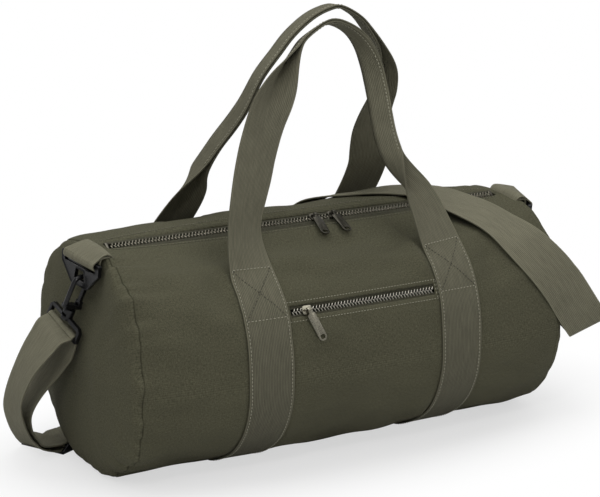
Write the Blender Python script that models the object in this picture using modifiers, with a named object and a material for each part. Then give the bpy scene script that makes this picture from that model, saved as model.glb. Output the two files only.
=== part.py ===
# Barrel sports bag: fabric body, two webbing carry handles, a zipped main opening, a zipped
# front pocket and a shoulder strap clipped to a ring at each end.
# +X runs along the bag, -Y is its front with the pocket, +Z is up and the floor is z = 0.
import math

import bmesh
import bpy
import numpy as np
from mathutils import Matrix, Vector

PARTS_NAME = "barrel_sports_bag"
CUTTERS_NAME = "cutters"

# Clearances
GAP = 0.0003
OVERRUN = 0.002
HARDWARE_PLAY = 0.0004

# Body of the bag
BODY_LENGTH = 0.500
BODY_DEPTH = 0.2758
FRONT_HEIGHT = 0.2345
REAR_RISE = 0.011
END_RISE = 0.005
GIRTH_LEVEL = 0.1031
FLOOR_PRESS = 0.003
WALL = 0.0015
END_TAPER_SHARE = 0.115
UPPER_POWER = 2.6
LOWER_POWER = 2.0
TAPER_POWER = 3
BULGE = 0.022
BULGE_POWER = 2.5
DENT = 0.017
DENT_SPREAD = 0.028
DENT_LEVEL = 0.200
SAG = 0.004
SAG_X = 0.010
SAG_SPREAD = 0.070
SAG_ALONG = 0.007
SAG_POWER = 8
SAG_REACH = 0.073
SEAM_GAP = 0.0014
BINDING_WIDTH = 0.009
BINDING_THICKNESS = 0.0012

# Main zip
SLOT_END = 0.012
FRONT_LIP_Y = -0.017
REAR_LIP_Y = -0.003
REAR_LIP_DROP = 0.0025
REAR_LIP_ROLL = 0.012
CHAIN_DEPTH = 0.0008
TOOTH_INNER = 0.0006
TOOTH_OUTER = 0.0044
TOOTH_THICKNESS = 0.0026
TAPE_THICKNESS = 0.0009
TAPE_LAP = 0.007
STOP_LENGTH = 0.003
SLIDER_X = (0.0065, 0.0290)

# Sliders and pulls
SLIDER_LENGTH = 0.011
SLIDER_WIDTH = 0.0092
SLIDER_PLATE = 0.0012
SLIDER_PLAY = 0.0003
WEDGE_LENGTH = 0.0034
WEDGE_THICKNESS = 0.0006
POST_SPAN = 0.0062
POST_THICKNESS = 0.0012
POST_WIDTH = 0.0016
BAIL_RADIUS = 0.0007
BAIL_RISE = 0.0056
KNUCKLE_RADIUS = 0.0022
KNUCKLE_BORE = 0.0014
KNUCKLE_LENGTH = 0.0030
PULL_LENGTH = 0.036
PULL_WIDTH = 0.0095
PULL_THICKNESS = 0.0015
PULL_SHOULDER = 0.0060
PULL_HOLE_WIDTH = 0.0056
PULL_HOLE_LENGTH = 0.0048
PULL_RIM = 0.0020
MAIN_PULL_DROP = 22.0
MAIN_PULL_SWAY = -8.0
POCKET_PULL_DROP = 69.0
POCKET_PULL_SWAY = 20.0

# Front pocket
POCKET_TURN = 28.0
POCKET_STEP = 2.0
POCKET_HALF_LENGTH = 0.0865
POCKET_OPENING = 0.0112
POCKET_CUT_DEPTH = 0.015
POCKET_TAPE_WIDTH = 0.0095
POCKET_SLIDER_X = -0.068
POUCH_HALF_LENGTH = 0.0840
POUCH_DEPTH = 0.014
POUCH_DROP = 0.100
POUCH_WALL = 0.0008
POUCH_END_SHARE = 0.2

# Webbing
WEB_WIDTH = 0.050
WEB_THICKNESS = 0.0016
STRAP_X = 0.115
FRONT_BOX_TURN = 55.0
REAR_BOX_TURN = 52.0
HANDLE_RISE = 0.235
HANDLE_SEATS = {-1: 0.0016, 1: 0.0008}
RIDGE_HALF = 0.0004
GROOVE_SHARE = 0.8
ROOT_LEAN = 20.0
LOOP_END_SHARE = 0.02
FULL_FOLD = 87.0

# End tabs and rings
TAB_Y = -0.020
TAB_LIFT = 0.0016
TAB_REACH = 0.0200
TAB_FALL = 0.0085
RING_THICKNESS = 0.0044
RING_BAR = 0.0045
RING_SLOT = 0.0055
RING_BRIDGE = 0.0035
RING_WINDOW = 0.011
RING_FOOT = 0.0068
RING_SIDE = 0.0055
RING_FOOT_HALF = 0.0135
WINDOW_TOP_HALF = 0.0065
WINDOW_FOOT_HALF = 0.0085
RING_YAW = 12.0
RING_TILT = 7.5

# Snap hooks
HOOK_WIRE = 0.0025
EYE_INNER = 0.0115
HOOK_DROP = 0.0008
HOOK_FOOT = 0.0040
NOSE_LENGTH = 0.0055
GATE_LENGTH = 0.0170
GATE_THICKNESS = 0.0034
GATE_BARREL = 0.0022
GATE_BORE = 0.0010
GATE_PIN = 0.0007
CHEEK = 0.0012
COLLAR_RADIUS = 0.0062
COLLAR_TOP = 0.0300
COLLAR_LENGTH = 0.0120
STEM_REACH = 0.0054
STEM_RADIUS = 0.0023
HEAD_RADIUS = 0.0036
HEAD_LENGTH = 0.0022
BASE_WIDTH = 0.060
BASE_THICKNESS = 0.0042
BASE_BAR = 0.0040
BASE_SLOT = 0.0085
BASE_SIDE = 0.0042

# Strap adjuster
ADJUSTER_LENGTH = 0.030
ADJUSTER_BAR = 0.0045
ADJUSTER_SIDE = 0.0036
ADJUSTER_BAR_HEIGHT = 0.0022
ADJUSTER_TAIL = 0.0054
ADJUSTER_TURN = 0.0018
ADJUSTER_NEAR = 0.0166
ADJUSTER_FAR = 0.0159

# Shoulder strap
SEWN_TAIL = 0.018

# Derived sizes
HALF_LENGTH = BODY_LENGTH / 2
HALF_DEPTH = BODY_DEPTH / 2
REAR_HEIGHT = FRONT_HEIGHT + REAR_RISE
END_HEIGHT = FRONT_HEIGHT + END_RISE
SLOT_HALF_LENGTH = HALF_LENGTH - SLOT_END
BED = WEB_THICKNESS + GAP
HALF_WEB = WEB_WIDTH / 2
HALF_TOOTH = TOOTH_THICKNESS / 2
PLATE_LEVEL = HALF_TOOTH + SLIDER_PLAY + SLIDER_PLATE / 2


def radians(degrees):
    return math.radians(degrees)


def clear_scene():
    for old in list(bpy.data.objects):
        bpy.data.objects.remove(old, do_unlink=True)


def collection(name):
    made = bpy.data.collections.new(name)
    bpy.context.scene.collection.children.link(made)
    return made


def material(name, colour, roughness, metallic=0.0):
    made = bpy.data.materials.new(name)
    made.use_nodes = True
    shader = made.node_tree.nodes["Principled BSDF"]
    shader.inputs["Base Color"].default_value = (*colour, 1.0)
    shader.inputs["Roughness"].default_value = roughness
    shader.inputs["Metallic"].default_value = metallic
    return made


clear_scene()
PARTS = collection(PARTS_NAME)
CUTTERS = collection(CUTTERS_NAME)


def add_object(name, mesh, finish=None, frame=None, where=None):
    """Links a mesh as an object in its collection, with its finish and its frame."""
    made = bpy.data.objects.new(name, mesh)
    (where or PARTS).objects.link(made)
    if finish is not None:
        own = finish.copy()
        own.name = name
        mesh.materials.append(own)
    if frame is not None:
        made.matrix_world = frame
    if where is CUTTERS:
        made.hide_render = True
        made.display_type = "WIRE"
    return made


def frame_of(origin, x_axis, y_axis):
    """A right-handed frame whose X follows x_axis and whose Y lies nearest to y_axis."""
    x = Vector(x_axis).normalized()
    z = x.cross(Vector(y_axis)).normalized()
    y = z.cross(x)
    made = Matrix((x, y, z)).transposed().to_4x4()
    made.translation = Vector(origin)
    return made


def box_mesh(name, size, centre):
    work = bmesh.new()
    spread = Matrix.Diagonal((*size, 1.0))
    bmesh.ops.create_cube(work, size=1.0, matrix=Matrix.Translation(centre) @ spread)
    mesh = bpy.data.meshes.new(name)
    work.to_mesh(mesh)
    work.free()
    return mesh


def rod_mesh(name, radius, length, centre, axis, segments=16):
    work = bmesh.new()
    turn = Vector((0, 0, 1)).rotation_difference(Vector(axis)).to_matrix().to_4x4()
    bmesh.ops.create_cone(
        work,
        cap_ends=True,
        segments=segments,
        radius1=radius,
        radius2=radius,
        depth=length,
        matrix=Matrix.Translation(centre) @ turn,
    )
    mesh = bpy.data.meshes.new(name)
    work.to_mesh(mesh)
    work.free()
    return mesh


def mesh_of_curve(name, curve):
    """The welded closed mesh of a curve with filled caps."""
    holder = bpy.data.objects.new(name, curve)
    bpy.context.scene.collection.objects.link(holder)
    graph = bpy.context.evaluated_depsgraph_get()
    mesh = bpy.data.meshes.new_from_object(holder.evaluated_get(graph))
    bpy.data.objects.remove(holder, do_unlink=True)
    work = bmesh.new()
    work.from_mesh(mesh)
    bmesh.ops.remove_doubles(work, verts=work.verts, dist=GAP / 10)
    bmesh.ops.recalc_face_normals(work, faces=work.faces)
    work.to_mesh(mesh)
    work.free()
    mesh.name = name
    return mesh


def plate_mesh(name, outlines, thickness):
    """A flat plate in the XY plane: the first outline is its edge, the others are holes."""
    curve = bpy.data.curves.new(name, "CURVE")
    curve.dimensions = "2D"
    curve.fill_mode = "BOTH"
    curve.extrude = thickness / 2
    for outline in outlines:
        spline = curve.splines.new("POLY")
        spline.points.add(len(outline) - 1)
        for point, (x, y) in zip(spline.points, outline):
            point.co = (x, y, 0, 1)
        spline.use_cyclic_u = True
    return mesh_of_curve(name, curve)


def tube_mesh(name, points, radius, resolution=2):
    curve = bpy.data.curves.new(name, "CURVE")
    curve.dimensions = "3D"
    curve.fill_mode = "FULL"
    curve.bevel_depth = radius
    curve.bevel_resolution = resolution
    curve.use_fill_caps = True
    spline = curve.splines.new("POLY")
    spline.points.add(len(points) - 1)
    for point, place in zip(spline.points, points):
        point.co = (*place, 1)
    return mesh_of_curve(name, curve)


def rounded(corners, radius, steps=3):
    """The outline through the corners, each rounded by an arc of up to this radius."""
    outline = []
    count = len(corners)
    for index, corner in enumerate(corners):
        here = Vector(corner)
        back = (Vector(corners[index - 1]) - here).normalized()
        ahead = (Vector(corners[(index + 1) % count]) - here).normalized()
        half = back.angle(ahead) / 2
        reach = radius / math.tan(half)
        centre = here + (back + ahead).normalized() * (radius / math.sin(half))
        start = here + back * reach - centre
        sweep = start.angle_signed(here + ahead * reach - centre)
        for step in range(steps + 1):
            turn = Matrix.Rotation(-sweep * step / steps, 2)
            outline.append(tuple(centre + turn @ start))
    return outline


def cut_with(target, operation, mesh):
    """Adds or removes a shape given in the target's own frame."""
    tool = add_object(target.name + "_" + operation.lower() + str(len(target.modifiers)), mesh,
                      frame=target.matrix_world, where=CUTTERS)
    step = target.modifiers.new(tool.name, "BOOLEAN")
    step.operation = operation
    step.object = tool
    step.solver = "EXACT"
    return tool


def mesh_of_faces(name, points, faces):
    mesh = bpy.data.meshes.new(name)
    mesh.from_pydata([tuple(point) for point in points], [], faces)
    mesh.validate()
    return mesh


def loft_mesh(name, rings):
    """A closed solid through rings of the same number of points, with both ends capped."""
    count = len(rings[0])
    points = [tuple(point) for ring in rings for point in ring]
    faces = []
    for row in range(len(rings) - 1):
        for column in range(count):
            ahead = (column + 1) % count
            low, high = row * count, (row + 1) * count
            faces.append((low + column, low + ahead, high + ahead, high + column))
    faces.append(tuple(reversed(range(count))))
    last = (len(rings) - 1) * count
    faces.append(tuple(range(last, last + count)))
    mesh = mesh_of_faces(name, points, faces)
    work = bmesh.new()
    work.from_mesh(mesh)
    bmesh.ops.recalc_face_normals(work, faces=work.faces)
    work.to_mesh(mesh)
    work.free()
    return mesh


def shell(name, grid, thickness, finish, offset=0.0, closed=False, skip=None, even=True):
    """An open surface through rows of points, thickened by Solidify."""
    rows, columns = len(grid), len(grid[0])
    points = [tuple(point) for row in grid for point in row]
    faces = []
    last = columns if closed else columns - 1
    for row in range(rows - 1):
        for column in range(last):
            if skip is not None and skip(row, column):
                continue
            ahead = (column + 1) % columns
            low, high = row * columns, (row + 1) * columns
            faces.append((low + column, low + ahead, high + ahead, high + column))
    made = add_object(name, mesh_of_faces(name, points, faces), finish)
    solid = made.modifiers.new("thickness", "SOLIDIFY")
    solid.thickness = thickness
    solid.offset = offset
    solid.use_even_offset = even
    return made


def spline_through(stations, per_span):
    """Points of a smooth curve through stations, each a list of numbers of any length."""
    keys = np.array(stations, float)
    padded = np.vstack([2 * keys[0] - keys[1], keys, 2 * keys[-1] - keys[-2]])
    made = []
    for span in range(len(keys) - 1):
        before, start, end, after = padded[span:span + 4]
        for step in range(per_span):
            t = step / per_span
            made.append(
                start
                + (end - before) * t / 2
                + (2 * before - 5 * start + 4 * end - after) * t * t / 2
                + (3 * start - before - 3 * end + after) * t * t * t / 2
            )
    made.append(keys[-1])
    return made


def unit(vector):
    vector = np.array(vector, float)
    return vector / np.linalg.norm(vector)


# The skin of the bag

def toward_end(x, middle, end):
    return middle + (end - middle) * min(abs(x) / HALF_LENGTH, 1.0) ** TAPER_POWER


def floor_under(x):
    """The bag's lowest level at x: it lies on its webbing loops where they pass under it."""
    return BED if abs(abs(x) - STRAP_X) < HALF_WEB + GAP else 0.0


def sag_at(x, y):
    """How far the front panel sags between its zip and its handle seams."""
    across = min(max((FRONT_LIP_Y - y) / SAG_REACH, 0.0), 1.0)
    along = max(1 - (abs(x) / HALF_LENGTH) ** SAG_POWER, 0.0)
    depth = SAG_ALONG * along + SAG * math.exp(-((x - SAG_X) / SAG_SPREAD) ** 2)
    return depth * math.sin(math.pi * across) ** 2


def skin_point(side, x, turn):
    """The outer skin at x; side is -1 in front and 1 at the rear, turn is -90 below, 0 at the
    girth and 90 degrees at the crest."""
    half_depth = toward_end(x, HALF_DEPTH, HALF_DEPTH * (1 - END_TAPER_SHARE))
    out, up = math.cos(turn), math.sin(turn)
    power = UPPER_POWER if up > 0 else LOWER_POWER
    y = side * half_depth * math.copysign(abs(out) ** (2 / power), out)
    if up > 0:
        crest = toward_end(x, FRONT_HEIGHT if side < 0 else REAR_HEIGHT, END_HEIGHT)
        z = GIRTH_LEVEL + (crest - GIRTH_LEVEL) * up ** (2 / power)
        if side < 0:
            z -= sag_at(x, y)
        else:
            roll = max(0.0, 1 - (y - REAR_LIP_Y) / REAR_LIP_ROLL)
            z -= toward_end(x, REAR_LIP_DROP, 0.0) * roll ** 2
    else:
        z = GIRTH_LEVEL - (GIRTH_LEVEL + FLOOR_PRESS) * abs(up) ** (2 / power)
    return y, max(z, floor_under(x))


def skin(side, x, turn, out=0.0):
    """A point at a distance out from the skin, square to it in its own section."""
    y, z = skin_point(side, x, turn)
    if out == 0:
        return (x, y, z)
    step = radians(SKIN_STEP)
    y_low, z_low = skin_point(side, x, turn - step)
    y_high, z_high = skin_point(side, x, turn + step)
    run = unit((y_high - y_low, z_high - z_low))
    return (x, y + side * run[1] * out, z - side * run[0] * out)


def turn_at(x, y):
    """The turn at which the upper skin has this depth y from the middle plane, front or rear."""
    half_depth = toward_end(x, HALF_DEPTH, HALF_DEPTH * (1 - END_TAPER_SHARE))
    return math.acos(math.copysign((abs(y) / half_depth) ** (UPPER_POWER / 2), y))


TURN_SHARES = (
    0.0, 0.074, 0.10, 0.15, 0.19, 0.25, 0.32, 0.40, 0.48, 0.56, 0.64, 0.72, 0.80, 0.88, 0.95, 1.0,
)
DOWN = -math.pi / 2
SKIN_STEP = 0.5


def lip_turn(side, x):
    return turn_at(x, -FRONT_LIP_Y if side < 0 else REAR_LIP_Y)


def half_section(side, x, out=0.0, top=1.0):
    """Points of the skin from under the bag up to a share of the way to the lip."""
    lip = lip_turn(side, x)
    return [skin(side, x, DOWN + (lip - DOWN) * share, out) for share in TURN_SHARES if share <= top]


def section(x, out=0.0):
    """One round of the skin from the rear lip down under the bag and up to the front lip."""
    return half_section(1, x, out)[::-1] + half_section(-1, x, out)[1:]


def facet(side, x, turn, out=0.0):
    """A point at a distance out from the panel's own flat facet at this turn."""
    lip = lip_turn(side, x)
    share = (turn - DOWN) / (lip - DOWN)
    high = next((index for index, mark in enumerate(TURN_SHARES) if mark >= share), len(TURN_SHARES) - 1)
    high = max(high, 1)
    low_mark, high_mark = TURN_SHARES[high - 1], TURN_SHARES[high]
    start = np.array(skin(side, x, DOWN + (lip - DOWN) * low_mark, out))
    end = np.array(skin(side, x, DOWN + (lip - DOWN) * high_mark, out))
    return start + (end - start) * (share - low_mark) / (high_mark - low_mark)


STATION_SHARES = (0.0, 0.14, 0.27, 0.5, 0.64, 0.8, 0.86, 0.90, 0.95, 1.0)


def body_stations():
    """Places along the bag, with a close pair at each edge of the two webbing loops."""
    inner, outer = STRAP_X - HALF_WEB - GAP, STRAP_X + HALF_WEB + GAP
    places = {share * HALF_LENGTH for share in STATION_SHARES}
    places = {x for x in places if not inner - 3 * OVERRUN < x < outer + 3 * OVERRUN}
    places |= {inner - GAP, inner + GAP, STRAP_X, outer - GAP, outer + GAP, SLOT_HALF_LENGTH}
    half = sorted(places)
    return [-x for x in reversed(half) if x > 0] + half


def stations_within(half_length):
    """The body's stations that lie inside a half length, and its two ends."""
    return [-half_length] + [x for x in body_stations() if abs(x) < half_length] + [half_length]


def make_main_panel(fabric):
    xs = body_stations()
    grid = [section(x) for x in xs]
    columns = len(grid[0])

    def in_slot(row, column):
        inside = max(abs(xs[row]), abs(xs[row + 1])) <= SLOT_HALF_LENGTH + GAP
        return column == columns - 1 and inside

    made = shell("main_panel", grid, WALL, fabric, offset=1.0, closed=True, skip=in_slot)
    frame = pocket_frame()
    opening = plate_mesh(
        "pocket_opening",
        [rounded(rectangle(2 * POCKET_HALF_LENGTH, POCKET_OPENING), POCKET_OPENING / 5)],
        POCKET_CUT_DEPTH,
    )
    tool = add_object("pocket_opening_cutter", opening, frame=frame, where=CUTTERS)
    step = made.modifiers.new("pocket_opening", "BOOLEAN")
    step.operation = "DIFFERENCE"
    step.object = tool
    return made


def rectangle(width, height, centre=(0, 0)):
    x, y = centre
    return [
        (x - width / 2, y - height / 2),
        (x + width / 2, y - height / 2),
        (x + width / 2, y + height / 2),
        (x - width / 2, y + height / 2),
    ]


RIM_SHARES = (0.0, 0.25, 0.45, 0.62, 0.76, 0.87, 0.95, 1.0)


def bulge_at(y, z, share):
    """How far an end panel stands out: a shallow pillow, dented under its ring and hook."""
    pillow = (1 - share ** BULGE_POWER) ** (1 / BULGE_POWER)
    off = ((y - TAB_Y) ** 2 + (z - DENT_LEVEL) ** 2) / (2 * DENT_SPREAD ** 2)
    return pillow * (BULGE - DENT * math.exp(-off))


def end_panel_point(side, outline, share):
    x, y, z = outline
    y, z = y * share, GIRTH_LEVEL + (z - GIRTH_LEVEL) * share
    return (side * (HALF_LENGTH + SEAM_GAP + bulge_at(y, z, share)), y, z)


def make_end_panel(name, side, fabric):
    rim = section(side * HALF_LENGTH)
    rings = [[end_panel_point(side, point, share) for point in rim] for share in RIM_SHARES[1:]]
    count = len(rim)
    points = [end_panel_point(side, rim[0], 0.0)]
    points += [point for ring in rings for point in ring]
    faces = [(0, 1 + (column + 1) % count, 1 + column) for column in range(count)]
    for row in range(len(rings) - 1):
        for column in range(count):
            ahead = (column + 1) % count
            low, high = 1 + row * count, 1 + (row + 1) * count
            faces.append((low + column, low + ahead, high + ahead, high + column))
    if side < 0:
        faces = [tuple(reversed(face)) for face in faces]
    made = add_object(name, mesh_of_faces(name, points, faces), fabric)
    solid = made.modifiers.new("thickness", "SOLIDIFY")
    solid.thickness = WALL
    solid.offset = -1.0
    return made


def make_binding(name, side, fabric):
    """The tape that covers the seam allowance inside an end seam."""
    outer = WALL + 3 * GAP + BINDING_THICKNESS / 2
    edge = side * (HALF_LENGTH - GAP)
    inner = side * (HALF_LENGTH - BINDING_WIDTH)
    grid = [section(edge, -outer), section(inner, -outer)]
    return shell(name, grid, BINDING_THICKNESS, fabric, closed=True)


# Main zip

def zip_axes():
    """Zip centre line at x = 0, the direction across it and the direction out of it."""
    front = np.array(skin(-1, 0.0, lip_turn(-1, 0.0)))
    rear = np.array(skin(1, 0.0, lip_turn(1, 0.0)))
    across = unit(rear - front)
    out = np.cross((1, 0, 0), across)
    return (front + rear) / 2 - out * CHAIN_DEPTH, across, out


def chain_bar(name, origin, across, out, side, half_length, metal):
    """One side's row of teeth, as a plain bar that the slider runs along."""
    low, high = side * TOOTH_INNER, side * TOOTH_OUTER
    rings = []
    for x in (-half_length, half_length):
        corners = ((low, -HALF_TOOTH), (high, -HALF_TOOTH), (high, HALF_TOOTH), (low, HALF_TOOTH))
        rings.append([origin + np.array((x, 0, 0)) + across * a + out * h for a, h in corners])
    return add_object(name, loft_mesh(name, rings), metal)


def make_main_zip(tape, metal):
    origin, across, out = zip_axes()
    half = SLOT_HALF_LENGTH - 2 * GAP - STOP_LENGTH
    for name, side in (("zip_teeth_front", -1), ("zip_teeth_rear", 1)):
        chain_bar(name, origin, across, out, side, half - GAP, metal)
    below = WALL + 3 * GAP + TAPE_THICKNESS / 2
    for name, side in (("zip_tape_front", -1), ("zip_tape_rear", 1)):
        lip_y = FRONT_LIP_Y if side < 0 else REAR_LIP_Y
        grid = []
        for x in stations_within(SLOT_HALF_LENGTH - 2 * GAP):
            row = [origin + np.array((x, 0, 0)) + across * side * (TOOTH_OUTER + 3 * GAP)]
            for reach in (0.0, TAPE_LAP / 2, TAPE_LAP):
                turn = turn_at(x, side * lip_y + reach)
                row.append(facet(side, x, turn, -below))
            grid.append(row)
        shell(name, grid, TAPE_THICKNESS, tape)
    for name, side in (("zip_stop_left", -1), ("zip_stop_right", 1)):
        frame = frame_of(origin, (1, 0, 0), across)
        size = (STOP_LENGTH - GAP, 2 * TOOTH_OUTER, TOOTH_THICKNESS)
        centre = (side * (half + STOP_LENGTH / 2), 0, 0)
        add_object(name, box_mesh(name, size, centre), metal, frame)


def make_slider(name, frame, nose, metal):
    """A slider on its chain. Its frame has X along the chain and Z out of it; nose is the end
    that leads when it closes."""
    outline = rounded(rectangle(SLIDER_LENGTH, SLIDER_WIDTH), SLIDER_WIDTH / 4)
    made = add_object(name, plate_mesh(name, [outline], SLIDER_PLATE), metal, frame)
    made.data.transform(Matrix.Translation((0, 0, PLATE_LEVEL)))
    lower = plate_mesh(name + "_lower", [outline], SLIDER_PLATE)
    lower.transform(Matrix.Translation((0, 0, -PLATE_LEVEL)))
    wedge_x = -nose * (SLIDER_LENGTH - WEDGE_LENGTH) / 2
    wedge = box_mesh(name + "_wedge", (WEDGE_LENGTH - GAP, WEDGE_THICKNESS, 2 * PLATE_LEVEL),
                     (wedge_x, 0, 0))
    cut_with(made, "UNION", wedge)
    cut_with(made, "UNION", lower)
    top = PLATE_LEVEL
    rise = BAIL_RISE + BAIL_RADIUS - top
    for side in (-1, 1):
        place = side * (POST_SPAN + POST_THICKNESS) / 2
        post = box_mesh(name + "_post", (POST_THICKNESS, POST_WIDTH, rise), (place, 0, top + rise / 2))
        cut_with(made, "UNION", post)
    bail = rod_mesh(name + "_bail", BAIL_RADIUS, POST_SPAN + POST_THICKNESS, (0, 0, BAIL_RISE),
                    (1, 0, 0), 10)
    cut_with(made, "UNION", bail)
    return made


def make_pull(name, frame, metal):
    """A pull hanging on its slider's bail. Its frame has its origin on the bail's axis, X along
    that axis and Y down the pull."""
    half, neck = PULL_WIDTH / 2, KNUCKLE_LENGTH / 2
    start = (KNUCKLE_RADIUS + KNUCKLE_BORE) / 2
    outline = [
        (-neck, start),
        (neck, start),
        (neck, PULL_SHOULDER - neck),
        (half, PULL_SHOULDER),
    ]
    reach = PULL_LENGTH - half
    for step in range(9):
        turn = math.pi * step / 8
        outline.append((half * math.cos(turn), reach + half * math.sin(turn)))
    outline.append((-half, PULL_SHOULDER))
    outline.append((-neck, PULL_SHOULDER - neck))
    hole_y = PULL_LENGTH - PULL_RIM - PULL_HOLE_LENGTH / 2
    hole = rounded(rectangle(PULL_HOLE_WIDTH, PULL_HOLE_LENGTH, (0, hole_y)), PULL_HOLE_LENGTH / 3)
    made = add_object(name, plate_mesh(name, [outline, hole], PULL_THICKNESS), metal, frame)
    cut_with(made, "UNION", rod_mesh(name + "_knuckle", KNUCKLE_RADIUS, KNUCKLE_LENGTH, (0, 0, 0),
                                     (1, 0, 0), 14))
    cut_with(made, "DIFFERENCE", rod_mesh(name + "_bore", KNUCKLE_BORE, KNUCKLE_LENGTH + OVERRUN,
                                          (0, 0, 0), (1, 0, 0), 12))
    return made


def pull_frame(bail, drop, sway):
    """A pull's frame: it points to the front and down by drop, and swings along the chain by
    sway."""
    down = Vector((0, -math.cos(radians(drop)), -math.sin(radians(drop))))
    along = Vector((1, 0, 0))
    y_axis = down * math.cos(radians(sway)) + along * math.sin(radians(sway))
    x_axis = along * math.cos(radians(sway)) - down * math.sin(radians(sway))
    return frame_of(bail, x_axis, y_axis)


def make_main_sliders(metal):
    origin, across, out = zip_axes()
    for name, x, nose, sway in (
        ("slider_left", SLIDER_X[0], 1, MAIN_PULL_SWAY),
        ("slider_right", SLIDER_X[1], -1, 0.0),
    ):
        centre = origin + np.array((x, 0, 0))
        make_slider(name, frame_of(centre, (1, 0, 0), across), nose, metal)
        make_pull(name + "_pull", pull_frame(centre + out * BAIL_RISE, MAIN_PULL_DROP, sway), metal)


# Front pocket

def pocket_frame():
    """X along the pocket zip, Y up the panel and Z out of it, on the panel's skin."""
    turn = radians(POCKET_TURN)
    centre = np.array(skin(-1, 0.0, turn))
    low = np.array(skin(-1, 0.0, turn - radians(POCKET_STEP)))
    high = np.array(skin(-1, 0.0, turn + radians(POCKET_STEP)))
    return frame_of(centre, (1, 0, 0), high - low)


def pocket_turn(reach):
    """The turn that lies this far up the front panel from the pocket zip."""
    return radians(POCKET_TURN) + reach / POCKET_RADIUS


def pocket_radius():
    turn = radians(POCKET_TURN)
    low = np.array(skin(-1, 0.0, turn - radians(POCKET_STEP)))
    high = np.array(skin(-1, 0.0, turn + radians(POCKET_STEP)))
    return float(np.linalg.norm(high - low)) / radians(2 * POCKET_STEP)


POCKET_RADIUS = pocket_radius()
POCKET_CHAIN_DEPTH = WALL + GAP + TAPE_THICKNESS / 2 + 2 * GAP


def pocket_chain_frame():
    frame = pocket_frame()
    return frame @ Matrix.Translation((0, 0, -POCKET_CHAIN_DEPTH))


def make_pocket(tape, metal, lining):
    frame = pocket_chain_frame()
    origin, across, out = (np.array(frame.col[i][:3]) for i in (3, 1, 2))
    below = WALL + GAP + TAPE_THICKNESS / 2
    for name, side in (("pocket_teeth_lower", -1), ("pocket_teeth_upper", 1)):
        chain_bar(name, origin, across, out, side, POCKET_HALF_LENGTH - GAP, metal)
    for name, side in (("pocket_tape_lower", -1), ("pocket_tape_upper", 1)):
        grid = []
        for x in stations_within(POCKET_HALF_LENGTH + OVERRUN):
            row = []
            for reach in (TOOTH_OUTER + 2 * GAP, POCKET_OPENING / 2 + OVERRUN,
                          TOOTH_OUTER + POCKET_TAPE_WIDTH):
                row.append(facet(-1, x, pocket_turn(side * reach), -below))
            grid.append(row)
        shell(name, grid, TAPE_THICKNESS, tape)
    centre = frame @ Vector((POCKET_SLIDER_X, 0, 0))
    slider = frame_of(centre, (1, 0, 0), across)
    make_slider("pocket_slider", slider, -1, metal)
    bail = np.array(centre) + out * BAIL_RISE
    make_pull("pocket_pull", pull_frame(bail, POCKET_PULL_DROP, POCKET_PULL_SWAY), metal)
    make_pouch(lining)


POUCH_SHARES = (-1.0, -0.93, -0.6, -0.2, 0.2, 0.6, 0.93, 1.0)
POUCH_FRONT_SHARES = (0.16, 0.4, 0.7, 0.94)


def make_pouch(lining):
    """The pocket's pouch: a bag hanging inside the front panel from its two zip tapes."""
    top = TOOTH_OUTER + POCKET_TAPE_WIDTH
    front = WALL + 4 * GAP + TAPE_THICKNESS + POUCH_WALL / 2
    grid = []
    for share in POUCH_SHARES:
        x = share * POUCH_HALF_LENGTH
        open_share = 1.0 if abs(share) < 1 else POUCH_END_SHARE
        depth = POUCH_DEPTH * open_share
        row = [facet(-1, x, pocket_turn(-POUCH_DROP * part), -front) for part in POUCH_FRONT_SHARES]
        row.append(skin(-1, x, pocket_turn(-POUCH_DROP), -front - depth / 2))
        row += [
            skin(-1, x, pocket_turn(-POUCH_DROP * part), -front - depth)
            for part in reversed(POUCH_FRONT_SHARES)
        ]
        row.append(skin(-1, x, pocket_turn(top / 2), -front - depth / 2))
        row.append(facet(-1, x, pocket_turn(top), -front))
        grid.append(row)
    shell("pocket_pouch", grid, POUCH_WALL, lining)


# Webbing

def loop_half(side, x, out):
    """Half of a webbing loop's run, from under the bag up to its handle's seam."""
    top = radians(FRONT_BOX_TURN if side < 0 else REAR_BOX_TURN)
    top_share = (top - DOWN) / (lip_turn(side, x) - DOWN)
    return half_section(side, x, out, top_share - LOOP_END_SHARE) + [facet(side, x, top, out)]


def make_web_loop(name, middle, webbing):
    """The webbing loop under the bag, from the front handle's seam to the rear handle's."""
    out = GAP + WEB_THICKNESS / 2
    columns = []
    for x in (middle - HALF_WEB, middle, middle + HALF_WEB):
        columns.append(loop_half(1, x, out)[::-1] + loop_half(-1, x, out)[1:])
    return shell(name, list(zip(*columns)), WEB_THICKNESS, webbing)


def handle_root(side):
    """Where a handle leaves its seam, above the top of its webbing loop."""
    turn = radians(FRONT_BOX_TURN if side < 0 else REAR_BOX_TURN)
    x, y, z = facet(side, STRAP_X, turn, GAP + WEB_THICKNESS / 2)
    return np.array((x, y, z + HANDLE_SEATS[side]))


def band_section(centre, run, lean, fold):
    """The outline across a webbing band. Fold 0 is flat and 90 degrees is doubled, with both
    selvedges on the side that lean points to."""
    across = unit(np.cross(run, lean))
    lean = unit(np.cross(across, run))
    cosine, sine = math.cos(fold), math.sin(fold)
    half = WEB_THICKNESS / 2
    ridge = centre - lean * (HALF_WEB * sine / 2)
    groove = min(half / max(cosine, half / HALF_WEB), HALF_WEB * GROOVE_SHARE)
    points = []
    for side in (-1, 1):
        along = across * side * cosine + lean * sine
        out = across * side * sine - lean * cosine
        tip = ridge + along * HALF_WEB
        fold_point = ridge + out * half + across * side * RIDGE_HALF
        points.append((tip + out * half, fold_point, tip - out * half))
    (a_out, a_ridge, a_in), (b_out, b_ridge, b_in) = points
    return [a_out, a_ridge, b_ridge, b_out, b_in, ridge + lean * groove, a_in]


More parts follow.
